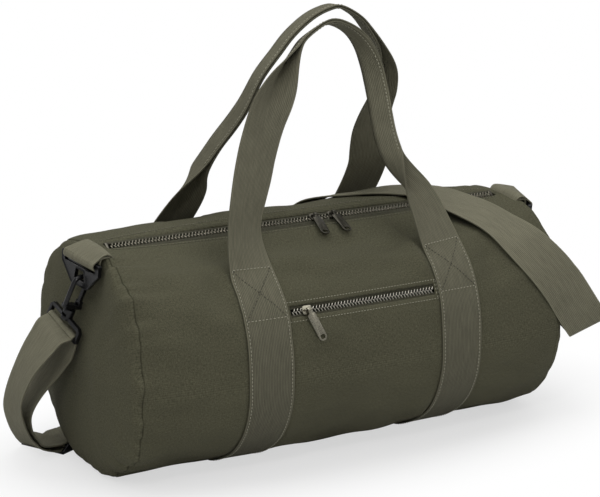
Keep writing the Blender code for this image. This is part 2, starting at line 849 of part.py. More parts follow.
# Each station: shares of STRAP_X, of the seam's depth and of HANDLE_RISE, then the fold in
# degrees and the direction in which the selvedges lean.
FRONT_HANDLE_SHARES = (
    (-1.026, 0.940, 0.072, 0, 0.30, -0.86, 0.34),
    (-0.983, 0.845, 0.160, 0, 0.40, -0.86, 0.30),
    (-0.930, 0.770, 0.242, 0, 0.38, -0.87, 0.21),
    (-0.860, 0.690, 0.320, 0, 0.32, -0.89, 0.23),
    (-0.791, 0.620, 0.396, 0, 0.27, -0.90, 0.25),
    (-0.696, 0.520, 0.498, 2, 0.25, -0.93, 0.20),
    (-0.557, 0.405, 0.626, 10, 0.24, -0.94, 0.20),
    (-0.400, 0.290, 0.728, 38, 0.15, -0.95, 0.25),
    (-0.260, 0.180, 0.813, 68, 0.08, -0.95, 0.30),
    (-0.130, 0.100, 0.881, 85, 0.00, -0.94, 0.34),
    (-0.017, 0.075, 0.932, 87, 0.00, -0.94, 0.34),
    (0.217, 0.073, 0.985, 87, 0.00, -0.94, 0.34),
    (0.426, 0.085, 0.951, 87, 0.15, -0.95, 0.27),
    (0.557, 0.140, 0.881, 87, 0.40, -0.85, 0.20),
    (0.626, 0.213, 0.787, 87, 0.70, -0.70, 0.10),
    (0.652, 0.290, 0.685, 87, 0.87, -0.49, 0.00),
    (0.650, 0.405, 0.574, 87, 0.87, -0.49, 0.00),
    (0.652, 0.500, 0.485, 86, 0.87, -0.49, 0.00),
    (0.678, 0.585, 0.404, 78, 0.85, -0.52, 0.00),
    (0.735, 0.665, 0.323, 54, 0.62, -0.72, 0.20),
    (0.843, 0.777, 0.221, 24, 0.30, -0.80, 0.39),
    (0.922, 0.850, 0.149, 9, 0.25, -0.85, 0.36),
    (0.983, 0.935, 0.072, 0, 0.20, -0.88, 0.37),
)
REAR_HANDLE_SHARES = (
    (-0.960, 0.920, 0.075, 8, 0.00, -0.93, -0.33),
    (-0.890, 0.760, 0.180, 36, 0.05, -0.94, -0.22),
    (-0.861, 0.650, 0.265, 66, 0.10, -0.95, -0.10),
    (-0.809, 0.555, 0.332, 82, 0.15, -0.95, 0.00),
    (-0.713, 0.450, 0.425, 87, 0.15, -0.95, 0.00),
    (-0.609, 0.335, 0.515, 87, 0.12, -0.98, 0.00),
    (-0.540, 0.200, 0.605, 87, 0.06, -1.00, 0.00),
    (-0.435, 0.095, 0.736, 87, 0.00, -1.00, 0.00),
    (-0.270, 0.063, 0.838, 87, 0.00, -1.00, 0.00),
    (-0.122, 0.063, 0.915, 87, 0.00, -1.00, 0.00),
    (0.070, 0.063, 0.983, 87, 0.00, -1.00, 0.00),
    (0.243, 0.063, 1.017, 87, 0.00, -1.00, 0.00),
    (0.383, 0.063, 1.021, 87, 0.00, -1.00, 0.00),
    (0.574, 0.063, 0.970, 87, 0.00, -1.00, 0.00),
    (0.696, 0.063, 0.906, 86, 0.03, -1.00, 0.00),
    (0.826, 0.075, 0.815, 80, 0.08, -0.98, -0.10),
    (0.904, 0.115, 0.719, 62, 0.12, -0.93, -0.25),
    (0.930, 0.225, 0.609, 36, 0.16, -0.85, -0.42),
    (0.922, 0.330, 0.506, 16, 0.17, -0.81, -0.50),
    (0.948, 0.450, 0.417, 6, 0.10, -0.81, -0.50),
    (1.000, 0.572, 0.319, 0, 0.02, -0.82, -0.48),
    (1.045, 0.690, 0.226, 0, -0.05, -0.86, -0.42),
    (1.055, 0.870, 0.115, 0, -0.03, -0.90, -0.36),
    (1.005, 0.965, 0.045, 0, 0.00, -0.93, -0.34),
)


def make_handle(name, side, shares, webbing):
    _, depth, level = handle_root(side)
    seam = level - HANDLE_SEATS[side]
    lean_root = (0.0, -math.cos(radians(ROOT_LEAN)), -side * math.sin(radians(ROOT_LEAN)))
    stations = [(-STRAP_X, depth, level, 0.0, *lean_root)]
    for x, y, z, fold, *lean in shares:
        stations.append((x * STRAP_X, y * depth, seam + z * HANDLE_RISE, radians(fold), *lean))
    stations.append((STRAP_X, depth, level, 0.0, *lean_root))
    smooth = spline_through(stations, 2)
    rings = []
    for index, station in enumerate(smooth):
        before = smooth[max(index - 1, 0)][:3]
        after = smooth[min(index + 1, len(smooth) - 1)][:3]
        run = unit(after - before)
        lean = unit(station[4:7])
        if index in (0, len(smooth) - 1):
            run = np.array((0, lean[2], -lean[1])) * (1 if index == 0 else -1)
        fold = min(max(station[3], 0.0), radians(FULL_FOLD))
        rings.append(band_section(station[:3], run, lean, fold))
    return add_object(name, loft_mesh(name, rings), webbing)


# End tabs, rings and snap hooks

def ring_axes(side):
    """The end ring's bar direction and its upward direction."""
    yaw, tilt = radians(RING_YAW), radians(RING_TILT)
    bar = unit((-side * math.sin(yaw), -math.cos(yaw), -math.sin(tilt)))
    up = unit(np.array((0, 0, 1)) - bar * bar[2])
    return bar, up


def tab_row(side, out):
    """Three points across the tab, at a distance out from the end seam."""
    x = side * (HALF_LENGTH - TAB_LIFT)
    turns = [turn_at(x, -TAB_Y + share * HALF_WEB) for share in (-1, 0, 1)]
    return [np.array(skin(-1, x, turn, out)) for turn in turns]


def fold_centre(side):
    return tab_row(side, TAB_LIFT)[1] + np.array((side * TAB_REACH, 0, -TAB_FALL))


FOLD_RADIUS = math.hypot(RING_BAR, RING_THICKNESS) / 2 + HARDWARE_PLAY + WEB_THICKNESS / 2
FOLD_TURNS = (75, 45, 15, -15, -45, -75)


def make_tab(name, side, webbing):
    """A loop of webbing from the end seam round the ring's bar and back."""
    bar, up = ring_axes(side)
    centre = fold_centre(side)
    out = unit(np.cross(bar, up)) * -side
    upper, lower = tab_row(side, TAB_LIFT + WEB_THICKNESS + GAP), tab_row(side, TAB_LIFT)
    run = np.array((side * TAB_REACH, 0, 0))
    grid = [upper, [point + run / 3 + up * WEB_THICKNESS / 2 for point in upper]]

    def across(middle):
        return [middle + bar * HALF_WEB * share for share in (-1, 0, 1)]

    for degrees in FOLD_TURNS:
        turn = radians(degrees)
        grid.append(across(centre + (out * math.cos(turn) + up * math.sin(turn)) * FOLD_RADIUS))
    under = across(centre - up * FOLD_RADIUS - out * 3 * RING_THICKNESS / 4)
    grid.append(under)
    grid.append([point + run / 2 - up * TAB_LIFT for point in lower])
    grid.append([point + run / 4 for point in lower])
    grid.append(lower)
    return shell(name, grid, WEB_THICKNESS, webbing)


def ring_frame(side):
    bar, up = ring_axes(side)
    return frame_of(fold_centre(side), bar, up)


def foot_level():
    """Height of the ring's foot bar below its top bar."""
    return RING_BAR / 2 + RING_SLOT + RING_BRIDGE + RING_WINDOW + RING_FOOT / 2


def make_ring(name, side, plastic):
    """A flat ring: a bar for the tab on top, a slot, and a window with a foot for the hook."""
    half_slot = HALF_WEB + HARDWARE_PLAY
    top_half = half_slot + RING_SIDE
    top = RING_BAR / 2
    slot_low = -top - RING_SLOT
    window_top = slot_low - RING_BRIDGE
    window_low = window_top - RING_WINDOW
    low = window_low - RING_FOOT
    edge = rounded(
        [(-RING_FOOT_HALF, low), (RING_FOOT_HALF, low), (top_half, slot_low - RING_BRIDGE / 2),
         (top_half, top), (-top_half, top), (-top_half, slot_low - RING_BRIDGE / 2)],
        RING_BAR / 2,
    )
    slot = rounded(rectangle(2 * half_slot, RING_SLOT, (0, -top - RING_SLOT / 2)), RING_BAR / 6)
    window = rounded(
        [(-WINDOW_FOOT_HALF, window_low), (WINDOW_FOOT_HALF, window_low),
         (WINDOW_TOP_HALF, window_top), (-WINDOW_TOP_HALF, window_top)],
        RING_BAR / 4,
    )
    return add_object(name, plate_mesh(name, [edge, slot, window], RING_THICKNESS), plastic,
                      ring_frame(side))


# Direction down each hook from its ring, and of the bar that carries the strap
HOOK_DOWN_SHARES = {-1: (-0.265, 0.300, -0.917), 1: (0.380, -0.180, -0.907)}
BASE_BAR_SHARES = {-1: (0.090, -0.935, -0.340), 1: (0.500, -0.750, 0.430)}


def hook_frame(side):
    """The hook's frame: origin in its eye, X from its back to its gate, Z up its axis."""
    bar, up = ring_axes(side)
    foot = fold_centre(side) - up * foot_level()
    z_axis = -Vector(HOOK_DOWN_SHARES[side]).normalized()
    y_axis = Vector(bar) * side
    x_axis = y_axis.cross(z_axis).normalized()
    made = frame_of(foot, x_axis, z_axis.cross(x_axis))
    return made @ Matrix.Translation((0, 0, -HOOK_DROP))


def make_hook(name, side, plastic):
    """A snap hook: back, bow and nose in one bar, cheeks for the gate, and a swivel stem."""
    frame = hook_frame(side)
    reach = EYE_INNER / 2 + HOOK_WIRE
    low = -NOSE_LENGTH - GATE_LENGTH
    foot = low - GATE_BARREL - GAP - HOOK_FOOT / 2
    points = [(reach, 0, -NOSE_LENGTH)]
    for step in range(9):
        turn = math.pi * step / 8
        points.append((reach * math.cos(turn), 0, reach * math.sin(turn)))
    points.append((-reach, 0, foot))
    made = add_object(name, tube_mesh(name, points, HOOK_WIRE), plastic, frame)
    cheek_y = GATE_BARREL + GAP + CHEEK / 2
    right, left = reach + GATE_BARREL + GAP, -reach - HOOK_WIRE / 2
    foot_size = (right - left, 2 * cheek_y + CHEEK + 2 * GAP, HOOK_FOOT)
    cut_with(made, "UNION", box_mesh(name + "_foot", foot_size, ((right + left) / 2, 0, foot)))
    cheek_high, cheek_low = low + GATE_BARREL, foot
    size = (2 * GATE_BARREL, CHEEK, cheek_high - cheek_low)
    for way in (-1, 1):
        centre = (reach, way * cheek_y, (cheek_high + cheek_low) / 2)
        cut_with(made, "UNION", box_mesh(name + "_cheek", size, centre))
    pin_length = 2 * cheek_y
    cut_with(made, "UNION", rod_mesh(name + "_pin", GATE_PIN, pin_length, (reach, 0, low),
                                     (0, 1, 0), 10))
    stem_low = -COLLAR_TOP - STEM_REACH
    stem_high = foot
    cut_with(made, "UNION", rod_mesh(name + "_stem", STEM_RADIUS, stem_high - stem_low,
                                     (0, 0, (stem_high + stem_low) / 2), (0, 0, 1), 14))
    cut_with(made, "UNION", rod_mesh(name + "_head", HEAD_RADIUS, HEAD_LENGTH,
                                     (0, 0, stem_low - HEAD_LENGTH / 2 + GAP), (0, 0, 1), 14))
    return made


def gate_frame(side):
    reach = EYE_INNER / 2 + HOOK_WIRE
    return hook_frame(side) @ Matrix.Translation((reach, 0, -NOSE_LENGTH - GATE_LENGTH))


def make_gate(name, side, plastic):
    """The sprung gate that closes a hook. Its origin is on its pin."""
    frame = gate_frame(side)
    width = 2 * GATE_BARREL
    made = add_object(name, rod_mesh(name, GATE_BARREL, width, (0, 0, 0), (0, 1, 0), 14), plastic,
                      frame)
    lever_low = GATE_BARREL / 2
    lever_high = GATE_LENGTH - HARDWARE_PLAY
    lever = box_mesh(name + "_lever", (GATE_THICKNESS, width - GAP, lever_high - lever_low),
                     (0, 0, (lever_high + lever_low) / 2))
    cut_with(made, "UNION", lever)
    bore = rod_mesh(name + "_bore", GATE_BORE, width + OVERRUN, (0, 0, 0), (0, 1, 0), 12)
    cut_with(made, "DIFFERENCE", bore)
    return made


def base_frame(side):
    """The swivel base's frame: origin on the hook's axis at the collar's top, X along its bars
    and Y up the hook."""
    hook = hook_frame(side)
    origin = hook @ Vector((0, 0, -COLLAR_TOP))
    axis = hook.col[2].xyz
    bar = Vector(BASE_BAR_SHARES[side])
    return frame_of(origin, bar - axis * bar.dot(axis), axis)


BASE_SHOULDER = COLLAR_LENGTH - BASE_BAR / 2
UPPER_BAR_LEVEL = -BASE_SHOULDER
LOWER_BAR_LEVEL = UPPER_BAR_LEVEL - BASE_BAR / 2 - BASE_SLOT - BASE_BAR / 2


def make_base(name, side, plastic):
    """The hook's swivel base: a collar round the stem's head, and a frame for the strap."""
    frame = base_frame(side)
    half = BASE_WIDTH / 2
    top = UPPER_BAR_LEVEL + BASE_BAR / 2
    low = LOWER_BAR_LEVEL - BASE_BAR / 2
    edge = rounded(
        [(-half, low), (half, low), (half, top - BASE_BAR), (half - BASE_BAR, top),
         (-half + BASE_BAR, top), (-half, top - BASE_BAR)],
        BASE_BAR / 4,
    )
    slot = rounded(
        rectangle(BASE_WIDTH - 2 * BASE_SIDE, BASE_SLOT, (0, LOWER_BAR_LEVEL + BASE_BAR / 2 + BASE_SLOT / 2)),
        BASE_BAR / 4,
    )
    made = add_object(name, plate_mesh(name, [edge, slot], BASE_THICKNESS), plastic, frame)
    collar = rod_mesh(name + "_collar", COLLAR_RADIUS, COLLAR_LENGTH, (0, -COLLAR_LENGTH / 2, 0),
                      (0, 1, 0), 20)
    cut_with(made, "UNION", collar)
    bore = rod_mesh(name + "_bore", STEM_RADIUS + HARDWARE_PLAY, COLLAR_LENGTH, (0, 0, 0),
                    (0, 1, 0), 16)
    cut_with(made, "DIFFERENCE", bore)
    chamber = HEAD_LENGTH + 3 * HARDWARE_PLAY
    chamber_mid = -STEM_REACH - HEAD_LENGTH / 2
    window = box_mesh(name + "_window", (2 * HEAD_RADIUS + 2 * HARDWARE_PLAY, chamber, 4 * COLLAR_RADIUS),
                      (0, chamber_mid, 0))
    cut_with(made, "DIFFERENCE", window)
    return made


# Shoulder strap and its adjuster

STRAP_ROW_SHARES = (-1.0, -0.5, 0.0, 0.5, 1.0)
STRAP_LIFT = WEB_THICKNESS / 2 + 2 * GAP
STRAP_RADIUS = math.hypot(BASE_BAR, BASE_THICKNESS) / 2 + HARDWARE_PLAY + WEB_THICKNESS / 2
ADJUSTER_BAND_LEVEL = ADJUSTER_BAR_HEIGHT + GAP + WEB_THICKNESS / 2
ADJUSTER_RADIUS = ADJUSTER_BAR_HEIGHT / 2 + GAP + WEB_THICKNESS / 2
CENTRE_BAR_LEVEL = ADJUSTER_BAND_LEVEL + WEB_THICKNESS + GAP + ADJUSTER_RADIUS
ADJUSTER_PLACE_SHARES = (-1.064, 0.595)
ADJUSTER_RUN_SHARES = (0.89, 0.46, 0.0)


def adjuster_axes():
    run = unit(ADJUSTER_RUN_SHARES)
    width = unit(np.cross(run, (0, 0, 1)))
    x, y = ADJUSTER_PLACE_SHARES
    return np.array((x * HALF_LENGTH, y * HALF_DEPTH, 0.0)), run, width


def make_adjuster(name, plastic):
    """A three-bar adjuster lying on the floor: two bars under the band and one above it."""
    place, run, width = adjuster_axes()
    frame = frame_of(place, width, run)
    outer = HALF_WEB + HARDWARE_PLAY + ADJUSTER_SIDE
    top = CENTRE_BAR_LEVEL + ADJUSTER_BAR_HEIGHT / 2
    side_y = (ADJUSTER_LENGTH - ADJUSTER_BAR) / 2
    bars = [(side_y, ADJUSTER_BAR_HEIGHT / 2, ADJUSTER_BAR),
            (-side_y, ADJUSTER_BAR_HEIGHT / 2, ADJUSTER_BAR),
            (0, CENTRE_BAR_LEVEL, 2 * ADJUSTER_BAR_HEIGHT)]
    rail_x = outer - ADJUSTER_SIDE / 2
    made = None
    for x in (-rail_x, rail_x):
        profile = [(-ADJUSTER_LENGTH / 2, 0), (ADJUSTER_LENGTH / 2, 0),
                   (ADJUSTER_LENGTH / 2, ADJUSTER_BAR_HEIGHT),
                   (ADJUSTER_BAR, top), (-ADJUSTER_BAR, top),
                   (-ADJUSTER_LENGTH / 2, ADJUSTER_BAR_HEIGHT)]
        rail = plate_mesh(name + "_rail", [profile], ADJUSTER_SIDE)
        rail.transform(Matrix(((0, 0, 1, x), (1, 0, 0, 0), (0, 1, 0, 0), (0, 0, 0, 1))))
        if made is None:
            made = add_object(name, rail, plastic, frame)
        else:
            cut_with(made, "UNION", rail)
    for y, z, length in bars:
        bar = box_mesh(name + "_bar", (2 * rail_x, length, ADJUSTER_BAR_HEIGHT), (0, y, z))
        cut_with(made, "UNION", bar)
    return made


# Each point of the strap's route: shares of HALF_LENGTH, HALF_DEPTH and END_HEIGHT, then the
# direction across the band.
INNER_STRAND_SHARES = (
    (-1.175, 0.500, 0.062, 0.20, -0.97, 0.00),
    (-1.216, 0.450, 0.125, 0.05, -0.98, 0.10),
    (-1.236, 0.390, 0.205, 0.00, -0.97, 0.20),
    (-1.222, 0.320, 0.290, 0.00, -0.96, 0.16),
    (-1.190, 0.240, 0.380, 0.02, -0.96, 0.05),
    (-1.158, 0.150, 0.470, 0.05, -0.95, -0.12),
    (-1.130, 0.060, 0.560, 0.08, -0.94, -0.26),
)
OUTER_STRAND_SHARES = (
    (-1.190, -0.010, 0.650, 0.08, -0.94, -0.30),
    (-1.245, 0.045, 0.560, 0.04, -0.95, -0.14),
    (-1.280, 0.120, 0.470, 0.00, -0.96, 0.02),
    (-1.300, 0.200, 0.375, 0.00, -0.96, 0.12),
    (-1.300, 0.285, 0.285, 0.00, -0.95, 0.20),
    (-1.272, 0.365, 0.195, 0.00, -0.96, 0.18),
    (-1.230, 0.440, 0.110, 0.05, -0.97, 0.10),
    (-1.178, 0.505, 0.045, 0.20, -0.97, 0.02),
)
REAR_RUN_SHARES = (
    (-0.960, 0.700, 0.0040, 0.52, -0.85, 0.00),
    (-0.860, 0.815, 0.0040, 0.46, -0.89, 0.00),
    (-0.680, 0.925, 0.0040, 0.22, -0.97, 0.00),
    (-0.480, 0.985, 0.0040, 0.08, -0.99, 0.00),
    (-0.280, 1.010, 0.0040, 0.00, -1.00, 0.00),
    (-0.090, 1.025, 0.0045, 0.00, -1.00, 0.00),
    (0.040, 1.045, 0.030, 0.00, -1.00, 0.00),
    (0.120, 1.060, 0.105, -0.08, -0.99, 0.00),
    (0.165, 1.075, 0.230, -0.45, -0.88, 0.00),
    (0.185, 1.075, 0.380, -0.85, -0.50, 0.00),
    (0.200, 1.060, 0.520, -0.98, -0.15, 0.00),
    (0.215, 1.020, 0.660, -1.00, 0.00, 0.00),
    (0.228, 0.925, 0.810, -0.98, -0.15, 0.00),
    (0.238, 0.760, 0.925, -0.88, -0.42, 0.10),
    (0.262, 0.545, 1.012, -0.70, -0.68, 0.15),
    (0.360, 0.395, 1.026, -0.66, -0.72, 0.15),
    (0.480, 0.275, 1.028, -0.68, -0.72, 0.06),
    (0.570, 0.145, 1.033, -0.80, -0.58, 0.00),
    (0.627, 0.015, 1.033, -0.90, -0.43, -0.04),
    (0.666, -0.110, 1.022, -0.93, -0.36, -0.08),
    (0.696, -0.240, 1.006, -0.94, -0.32, -0.12),
    (0.724, -0.377, 0.990, -0.92, -0.36, -0.17),
    (0.760, -0.500, 0.965, -0.89, -0.40, -0.20),
    (0.796, -0.609, 0.931, -0.88, -0.40, -0.25),
    (0.828, -0.703, 0.894, -0.87, -0.31, -0.38),
    (0.864, -0.790, 0.848, -0.83, -0.20, -0.52),
    (0.908, -0.848, 0.793, -0.80, -0.11, -0.60),
    (0.960, -0.892, 0.727, -0.79, -0.01, -0.61),
    (1.020, -0.921, 0.643, -0.84, 0.11, -0.54),
)
RIGHT_END_SHARES = (
    (1.080, -0.950, 0.543, -0.89, 0.30, -0.34),
    (1.120, -0.960, 0.482, -0.88, 0.30, -0.36),
    (1.150, -0.945, 0.448, -0.86, 0.30, -0.41),
    (1.176, -0.890, 0.440, -0.84, 0.32, -0.44),
    (1.190, -0.780, 0.452, -0.80, 0.40, -0.46),
    (1.192, -0.610, 0.490, -0.70, 0.52, -0.48),
    (1.194, -0.440, 0.535, -0.58, 0.66, -0.47),
    (1.202, -0.295, 0.570, -0.55, 0.72, -0.42),
    (1.200, -0.200, 0.620, -0.53, 0.76, -0.37),
)


def scaled_stations(shares):
    return [(x * HALF_LENGTH, y * HALF_DEPTH, z * END_HEIGHT, *width) for x, y, z, *width in shares]


def turn_round(centre, start, ahead, radius, width, steps=6):
    """Half a turn round a bar, from its start side through the ahead side."""
    made = []
    for step in range(steps + 1):
        turn = math.pi * step / steps
        place = centre + (start * math.cos(turn) + ahead * math.sin(turn)) * radius
        made.append((*place, *width))
    return made


def base_bar(side):
    """A swivel base's lower bar: its middle, the directions out of and up the base, and the
    direction along it."""
    frame = base_frame(side)
    middle = np.array(frame @ Vector((0, LOWER_BAR_LEVEL, 0)))
    out = np.array(frame.col[2].xyz)
    if out[0] * side < 0:
        out = -out
    return middle, out, np.array(frame.col[1].xyz), np.array(frame.col[0].xyz)


def strap_row(station, lift):
    """The places across the band at a station: it keeps clear of the skin where it lies on it
    and of the floor."""
    middle, across = np.array(station[:3]), unit(station[3:6])
    row = [middle + across * HALF_WEB * share for share in STRAP_ROW_SHARES]
    if lift > 0:
        row = [clear_of_skin(point, lift) for point in row]
    return [(x, y, max(z, WEB_THICKNESS / 2)) for x, y, z in row]


def clear_of_skin(point, out):
    """The point, or where it lies closer than out to the upper skin, its place farther out."""
    x, y, z = point
    share = (y - 2 * FRONT_LIP_Y) / (REAR_LIP_Y - 2 * FRONT_LIP_Y)
    middle = FRONT_HEIGHT + (REAR_HEIGHT - FRONT_HEIGHT) * min(max(share, 0.0), 1.0)
    half_depth = toward_end(x, HALF_DEPTH, HALF_DEPTH * (1 - END_TAPER_SHARE)) + out
    height = toward_end(x, middle, END_HEIGHT) + out - GIRTH_LEVEL
    rise = max(z - GIRTH_LEVEL, 0.0)
    fill = (abs(y) / half_depth) ** UPPER_POWER + (rise / height) ** UPPER_POWER
    if fill >= 1:
        return point
    grow = fill ** (-1 / UPPER_POWER)
    return np.array((x, y * grow, z if rise == 0 else GIRTH_LEVEL + rise * grow))


def make_strap(name, webbing):
    """The shoulder strap: sewn round the adjuster, through the left hook's base, back through
    the adjuster, behind the bag, over its top and down to the right hook's base."""
    place, run, width = adjuster_axes()
    up = np.array((0.0, 0.0, 1.0))
    centre = place + up * CENTRE_BAR_LEVEL
    side_y = (ADJUSTER_LENGTH - ADJUSTER_BAR) / 2
    sewn_end = centre - up * ADJUSTER_RADIUS - run * ADJUSTER_TAIL
    route = [[(*sewn_end, *width)]]
    turn_centre = centre + run * ADJUSTER_TURN
    route.append(turn_round(turn_centre, -up, run, ADJUSTER_RADIUS, width))
    route.append([(*(centre + up * ADJUSTER_RADIUS - run * side_y), *width)])
    route.append(spline_through(scaled_stations(INNER_STRAND_SHARES), 2))
    bar, out, rise, across = base_bar(-1)
    route.append(turn_round(bar, -out, rise, STRAP_RADIUS, across))
    route.append(spline_through(scaled_stations(OUTER_STRAND_SHARES), 2))
    level = up * ADJUSTER_BAND_LEVEL
    route.append([(*(place - run * ADJUSTER_NEAR + level), *width), (*(place + level), *width),
                  (*(place + run * ADJUSTER_FAR + level), *width)])
    lying = spline_through(scaled_stations(REAR_RUN_SHARES), 2)
    bar, out, rise, across = base_bar(1)
    grid = [strap_row(station, 0.0) for piece in route for station in piece]
    grid += [strap_row(station, STRAP_LIFT) for station in lying]
    tail = spline_through(scaled_stations(RIGHT_END_SHARES), 2)
    tail += turn_round(bar, out, rise, STRAP_RADIUS, -across)
    tail.append((*(bar - out * STRAP_RADIUS - rise * SEWN_TAIL), *-across))
    grid += [strap_row(station, 0.0) for station in tail]
    return shell(name, grid, WEB_THICKNESS, webbing, even=False)


def make_all():
    fabric = material("fabric", (0.085, 0.083, 0.055), 0.9)
    webbing = material("webbing", (0.115, 0.112, 0.080), 0.85)
    tape = material("zip_tape", (0.060, 0.060, 0.042), 0.9)
    lining = material("lining", (0.030, 0.030, 0.024), 0.9)
    plastic = material("plastic", (0.012, 0.012, 0.013), 0.35)
    dark_metal = material("dark_metal", (0.16, 0.15, 0.11), 0.35, 1.0)
    light_metal = material("light_metal", (0.42, 0.40, 0.34), 0.3, 1.0)
    make_main_panel(fabric)
    make_main_zip(tape, dark_metal)
    make_main_sliders(dark_metal)
    make_pocket(tape, light_metal, lining)
    make_handle("front_handle", -1, FRONT_HANDLE_SHARES, webbing)
    make_handle("rear_handle", 1, REAR_HANDLE_SHARES, webbing)
    for word, side in (("left", -1), ("right", 1)):
        make_end_panel("end_panel_" + word, side, fabric)
        make_binding("seam_binding_" + word, side, tape)
        make_web_loop("web_loop_" + word, side * STRAP_X, webbing)
        make_tab("tab_" + word, side, webbing)
        make_ring("ring_" + word, side, plastic)
        make_hook("hook_" + word, side, plastic)
        make_gate("gate_" + word, side, plastic)
        make_base("swivel_base_" + word, side, plastic)
    make_adjuster("strap_adjuster", plastic)
    make_strap("shoulder_strap", webbing)


make_all()
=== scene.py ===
from math import cos, hypot, pi, radians, sin, sqrt

import bmesh
import bpy
import numpy as np
from mathutils import Matrix


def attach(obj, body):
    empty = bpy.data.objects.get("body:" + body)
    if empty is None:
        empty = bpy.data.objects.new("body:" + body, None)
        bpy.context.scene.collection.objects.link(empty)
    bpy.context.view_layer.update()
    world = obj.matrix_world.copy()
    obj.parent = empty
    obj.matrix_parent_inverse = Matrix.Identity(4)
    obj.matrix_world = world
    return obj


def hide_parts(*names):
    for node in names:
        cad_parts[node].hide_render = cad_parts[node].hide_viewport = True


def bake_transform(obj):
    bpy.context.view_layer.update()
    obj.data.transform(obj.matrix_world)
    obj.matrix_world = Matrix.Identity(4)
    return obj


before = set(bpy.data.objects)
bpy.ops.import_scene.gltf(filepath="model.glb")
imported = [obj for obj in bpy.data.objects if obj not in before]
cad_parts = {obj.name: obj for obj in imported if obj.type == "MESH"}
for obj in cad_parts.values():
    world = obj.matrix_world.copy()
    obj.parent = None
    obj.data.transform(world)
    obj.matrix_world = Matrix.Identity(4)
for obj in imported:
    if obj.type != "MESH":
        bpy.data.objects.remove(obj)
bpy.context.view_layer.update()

# Body of the bag, in metres: +X along the bag, -Y is its front with the pocket, z = 0 the floor
HALF_LENGTH = 0.25
HALF_DEPTH = 0.1379
FRONT_HEIGHT = 0.2345
REAR_HEIGHT = 0.2455
END_HEIGHT = 0.2395
GIRTH_LEVEL = 0.1031
FLOOR_PRESS = 0.003
END_TAPER = 0.115
UPPER_POWER = 2.6
LOWER_POWER = 2.0
FRONT_LIP_Y = -0.017
REAR_LIP_Y = -0.003
HALF_GIRTH = 0.335
WALL = 0.0015
SLOT_HALF = 0.238
WEB_HALF = 0.025
WEB_THICK = 0.0016
BED = 0.0019
STRAP_X = 0.115
DOWN = -pi / 2
POCKET_TURN = radians(28.0)
POCKET_HALF = 0.0865
POCKET_OPENING = 0.0112
STITCH_INSET = 0.0045
SEAM_DEPTH = 0.0013
BOX_LENGTH = 0.056
BOX_HALF = 0.0224
# Metres of panel for one radian of turn beside the main zip
LIP_ARC = 0.137


# Small numpy helpers

def unit(v):
    """Each vector divided by its length."""
    v = np.asarray(v, float)
    return v / np.maximum(np.linalg.norm(v, axis=-1, keepdims=True), 1e-12)


def step_up(t):
    """Smooth step: 3t squared less 2t cubed, held between 0 and 1."""
    t = np.clip(t, 0.0, 1.0)
    return t * t * (3 - 2 * t)


def ripples(u, v, size, seed, waves=7):
    """Soft even noise: the mean of seeded cosine waves of about one wavelength in all directions."""
    rng = np.random.default_rng(seed)
    total = np.zeros(np.broadcast(u, v).shape)
    for angle, phase, stretch in zip(rng.uniform(0, pi, waves), rng.uniform(0, 2 * pi, waves),
                                     rng.uniform(0.7, 1.4, waves)):
        total = total + np.cos(2 * pi * (u * cos(angle) + v * sin(angle)) / (size * stretch)
                               + phase)
    return total / sqrt(waves)


def through(rows, per):
    """Catmull-Rom: a smooth run of rows through the given rows, with this many steps for each."""
    rows = np.asarray(rows, float)
    padded = np.concatenate([2 * rows[:1] - rows[1:2], rows, 2 * rows[-1:] - rows[-2:-1]])
    before, start, end, after = padded[:-3], padded[1:-2], padded[2:-1], padded[3:]
    t = (np.arange(per) / per).reshape(1, per, *([1] * (rows.ndim - 1)))
    b, s, e, a = (k[:, None] for k in (before, start, end, after))
    made = s + ((e - b) + ((2 * b - 5 * s + 4 * e - a) + (3 * s - b - 3 * e + a) * t) * t) * t / 2
    made = made.reshape(-1, *rows.shape[1:])
    return np.concatenate([made, rows[-1:]])


def along(path):
    """Length run along a path of points at each of its points."""
    steps = np.linalg.norm(np.diff(path, axis=0), axis=-1)
    return np.concatenate([[0.0], np.cumsum(steps)])


def stack(*parts):
    """Arrays of one shape, or numbers, side by side along a new last axis."""
    return np.stack(np.broadcast_arrays(*parts), axis=-1)


def resample(path, places, *more):
    """The path, and other arrays that go with it, at these lengths along it."""
    run = along(path)
    return [stack(*(np.interp(places, run, column) for column in data.T)) for data in (path, *more)]


def bell(t):
    """Bell curve: e to the power of minus t squared."""
    return np.exp(-t ** 2)


# The skin of the bag

def toward_end(x, middle, end):
    """From the middle value to the end value by the cube of the share of the half length."""
    return middle + (end - middle) * np.minimum(np.abs(x) / HALF_LENGTH, 1.0) ** 3


def half_depth_at(x):
    """Half the bag's depth, which tapers towards the ends."""
    return toward_end(x, HALF_DEPTH, HALF_DEPTH * (1 - END_TAPER))


def under_web(x):
    """1 under the webbing, fading to 0 over 6 mm beside it."""
    return step_up(1 - (np.abs(np.abs(x) - STRAP_X) - WEB_HALF) / 0.006)


def sag_at(x, y):
    """How far the front panel sags between its zip and its handle seams."""
    across = np.clip((FRONT_LIP_Y - y) / 0.073, 0.0, 1.0)
    lengthwise = np.maximum(1 - (np.abs(x) / HALF_LENGTH) ** 8, 0.0)
    depth = 0.007 * lengthwise + 0.004 * bell((x - 0.01) / 0.07)
    return depth * np.sin(pi * across) ** 2


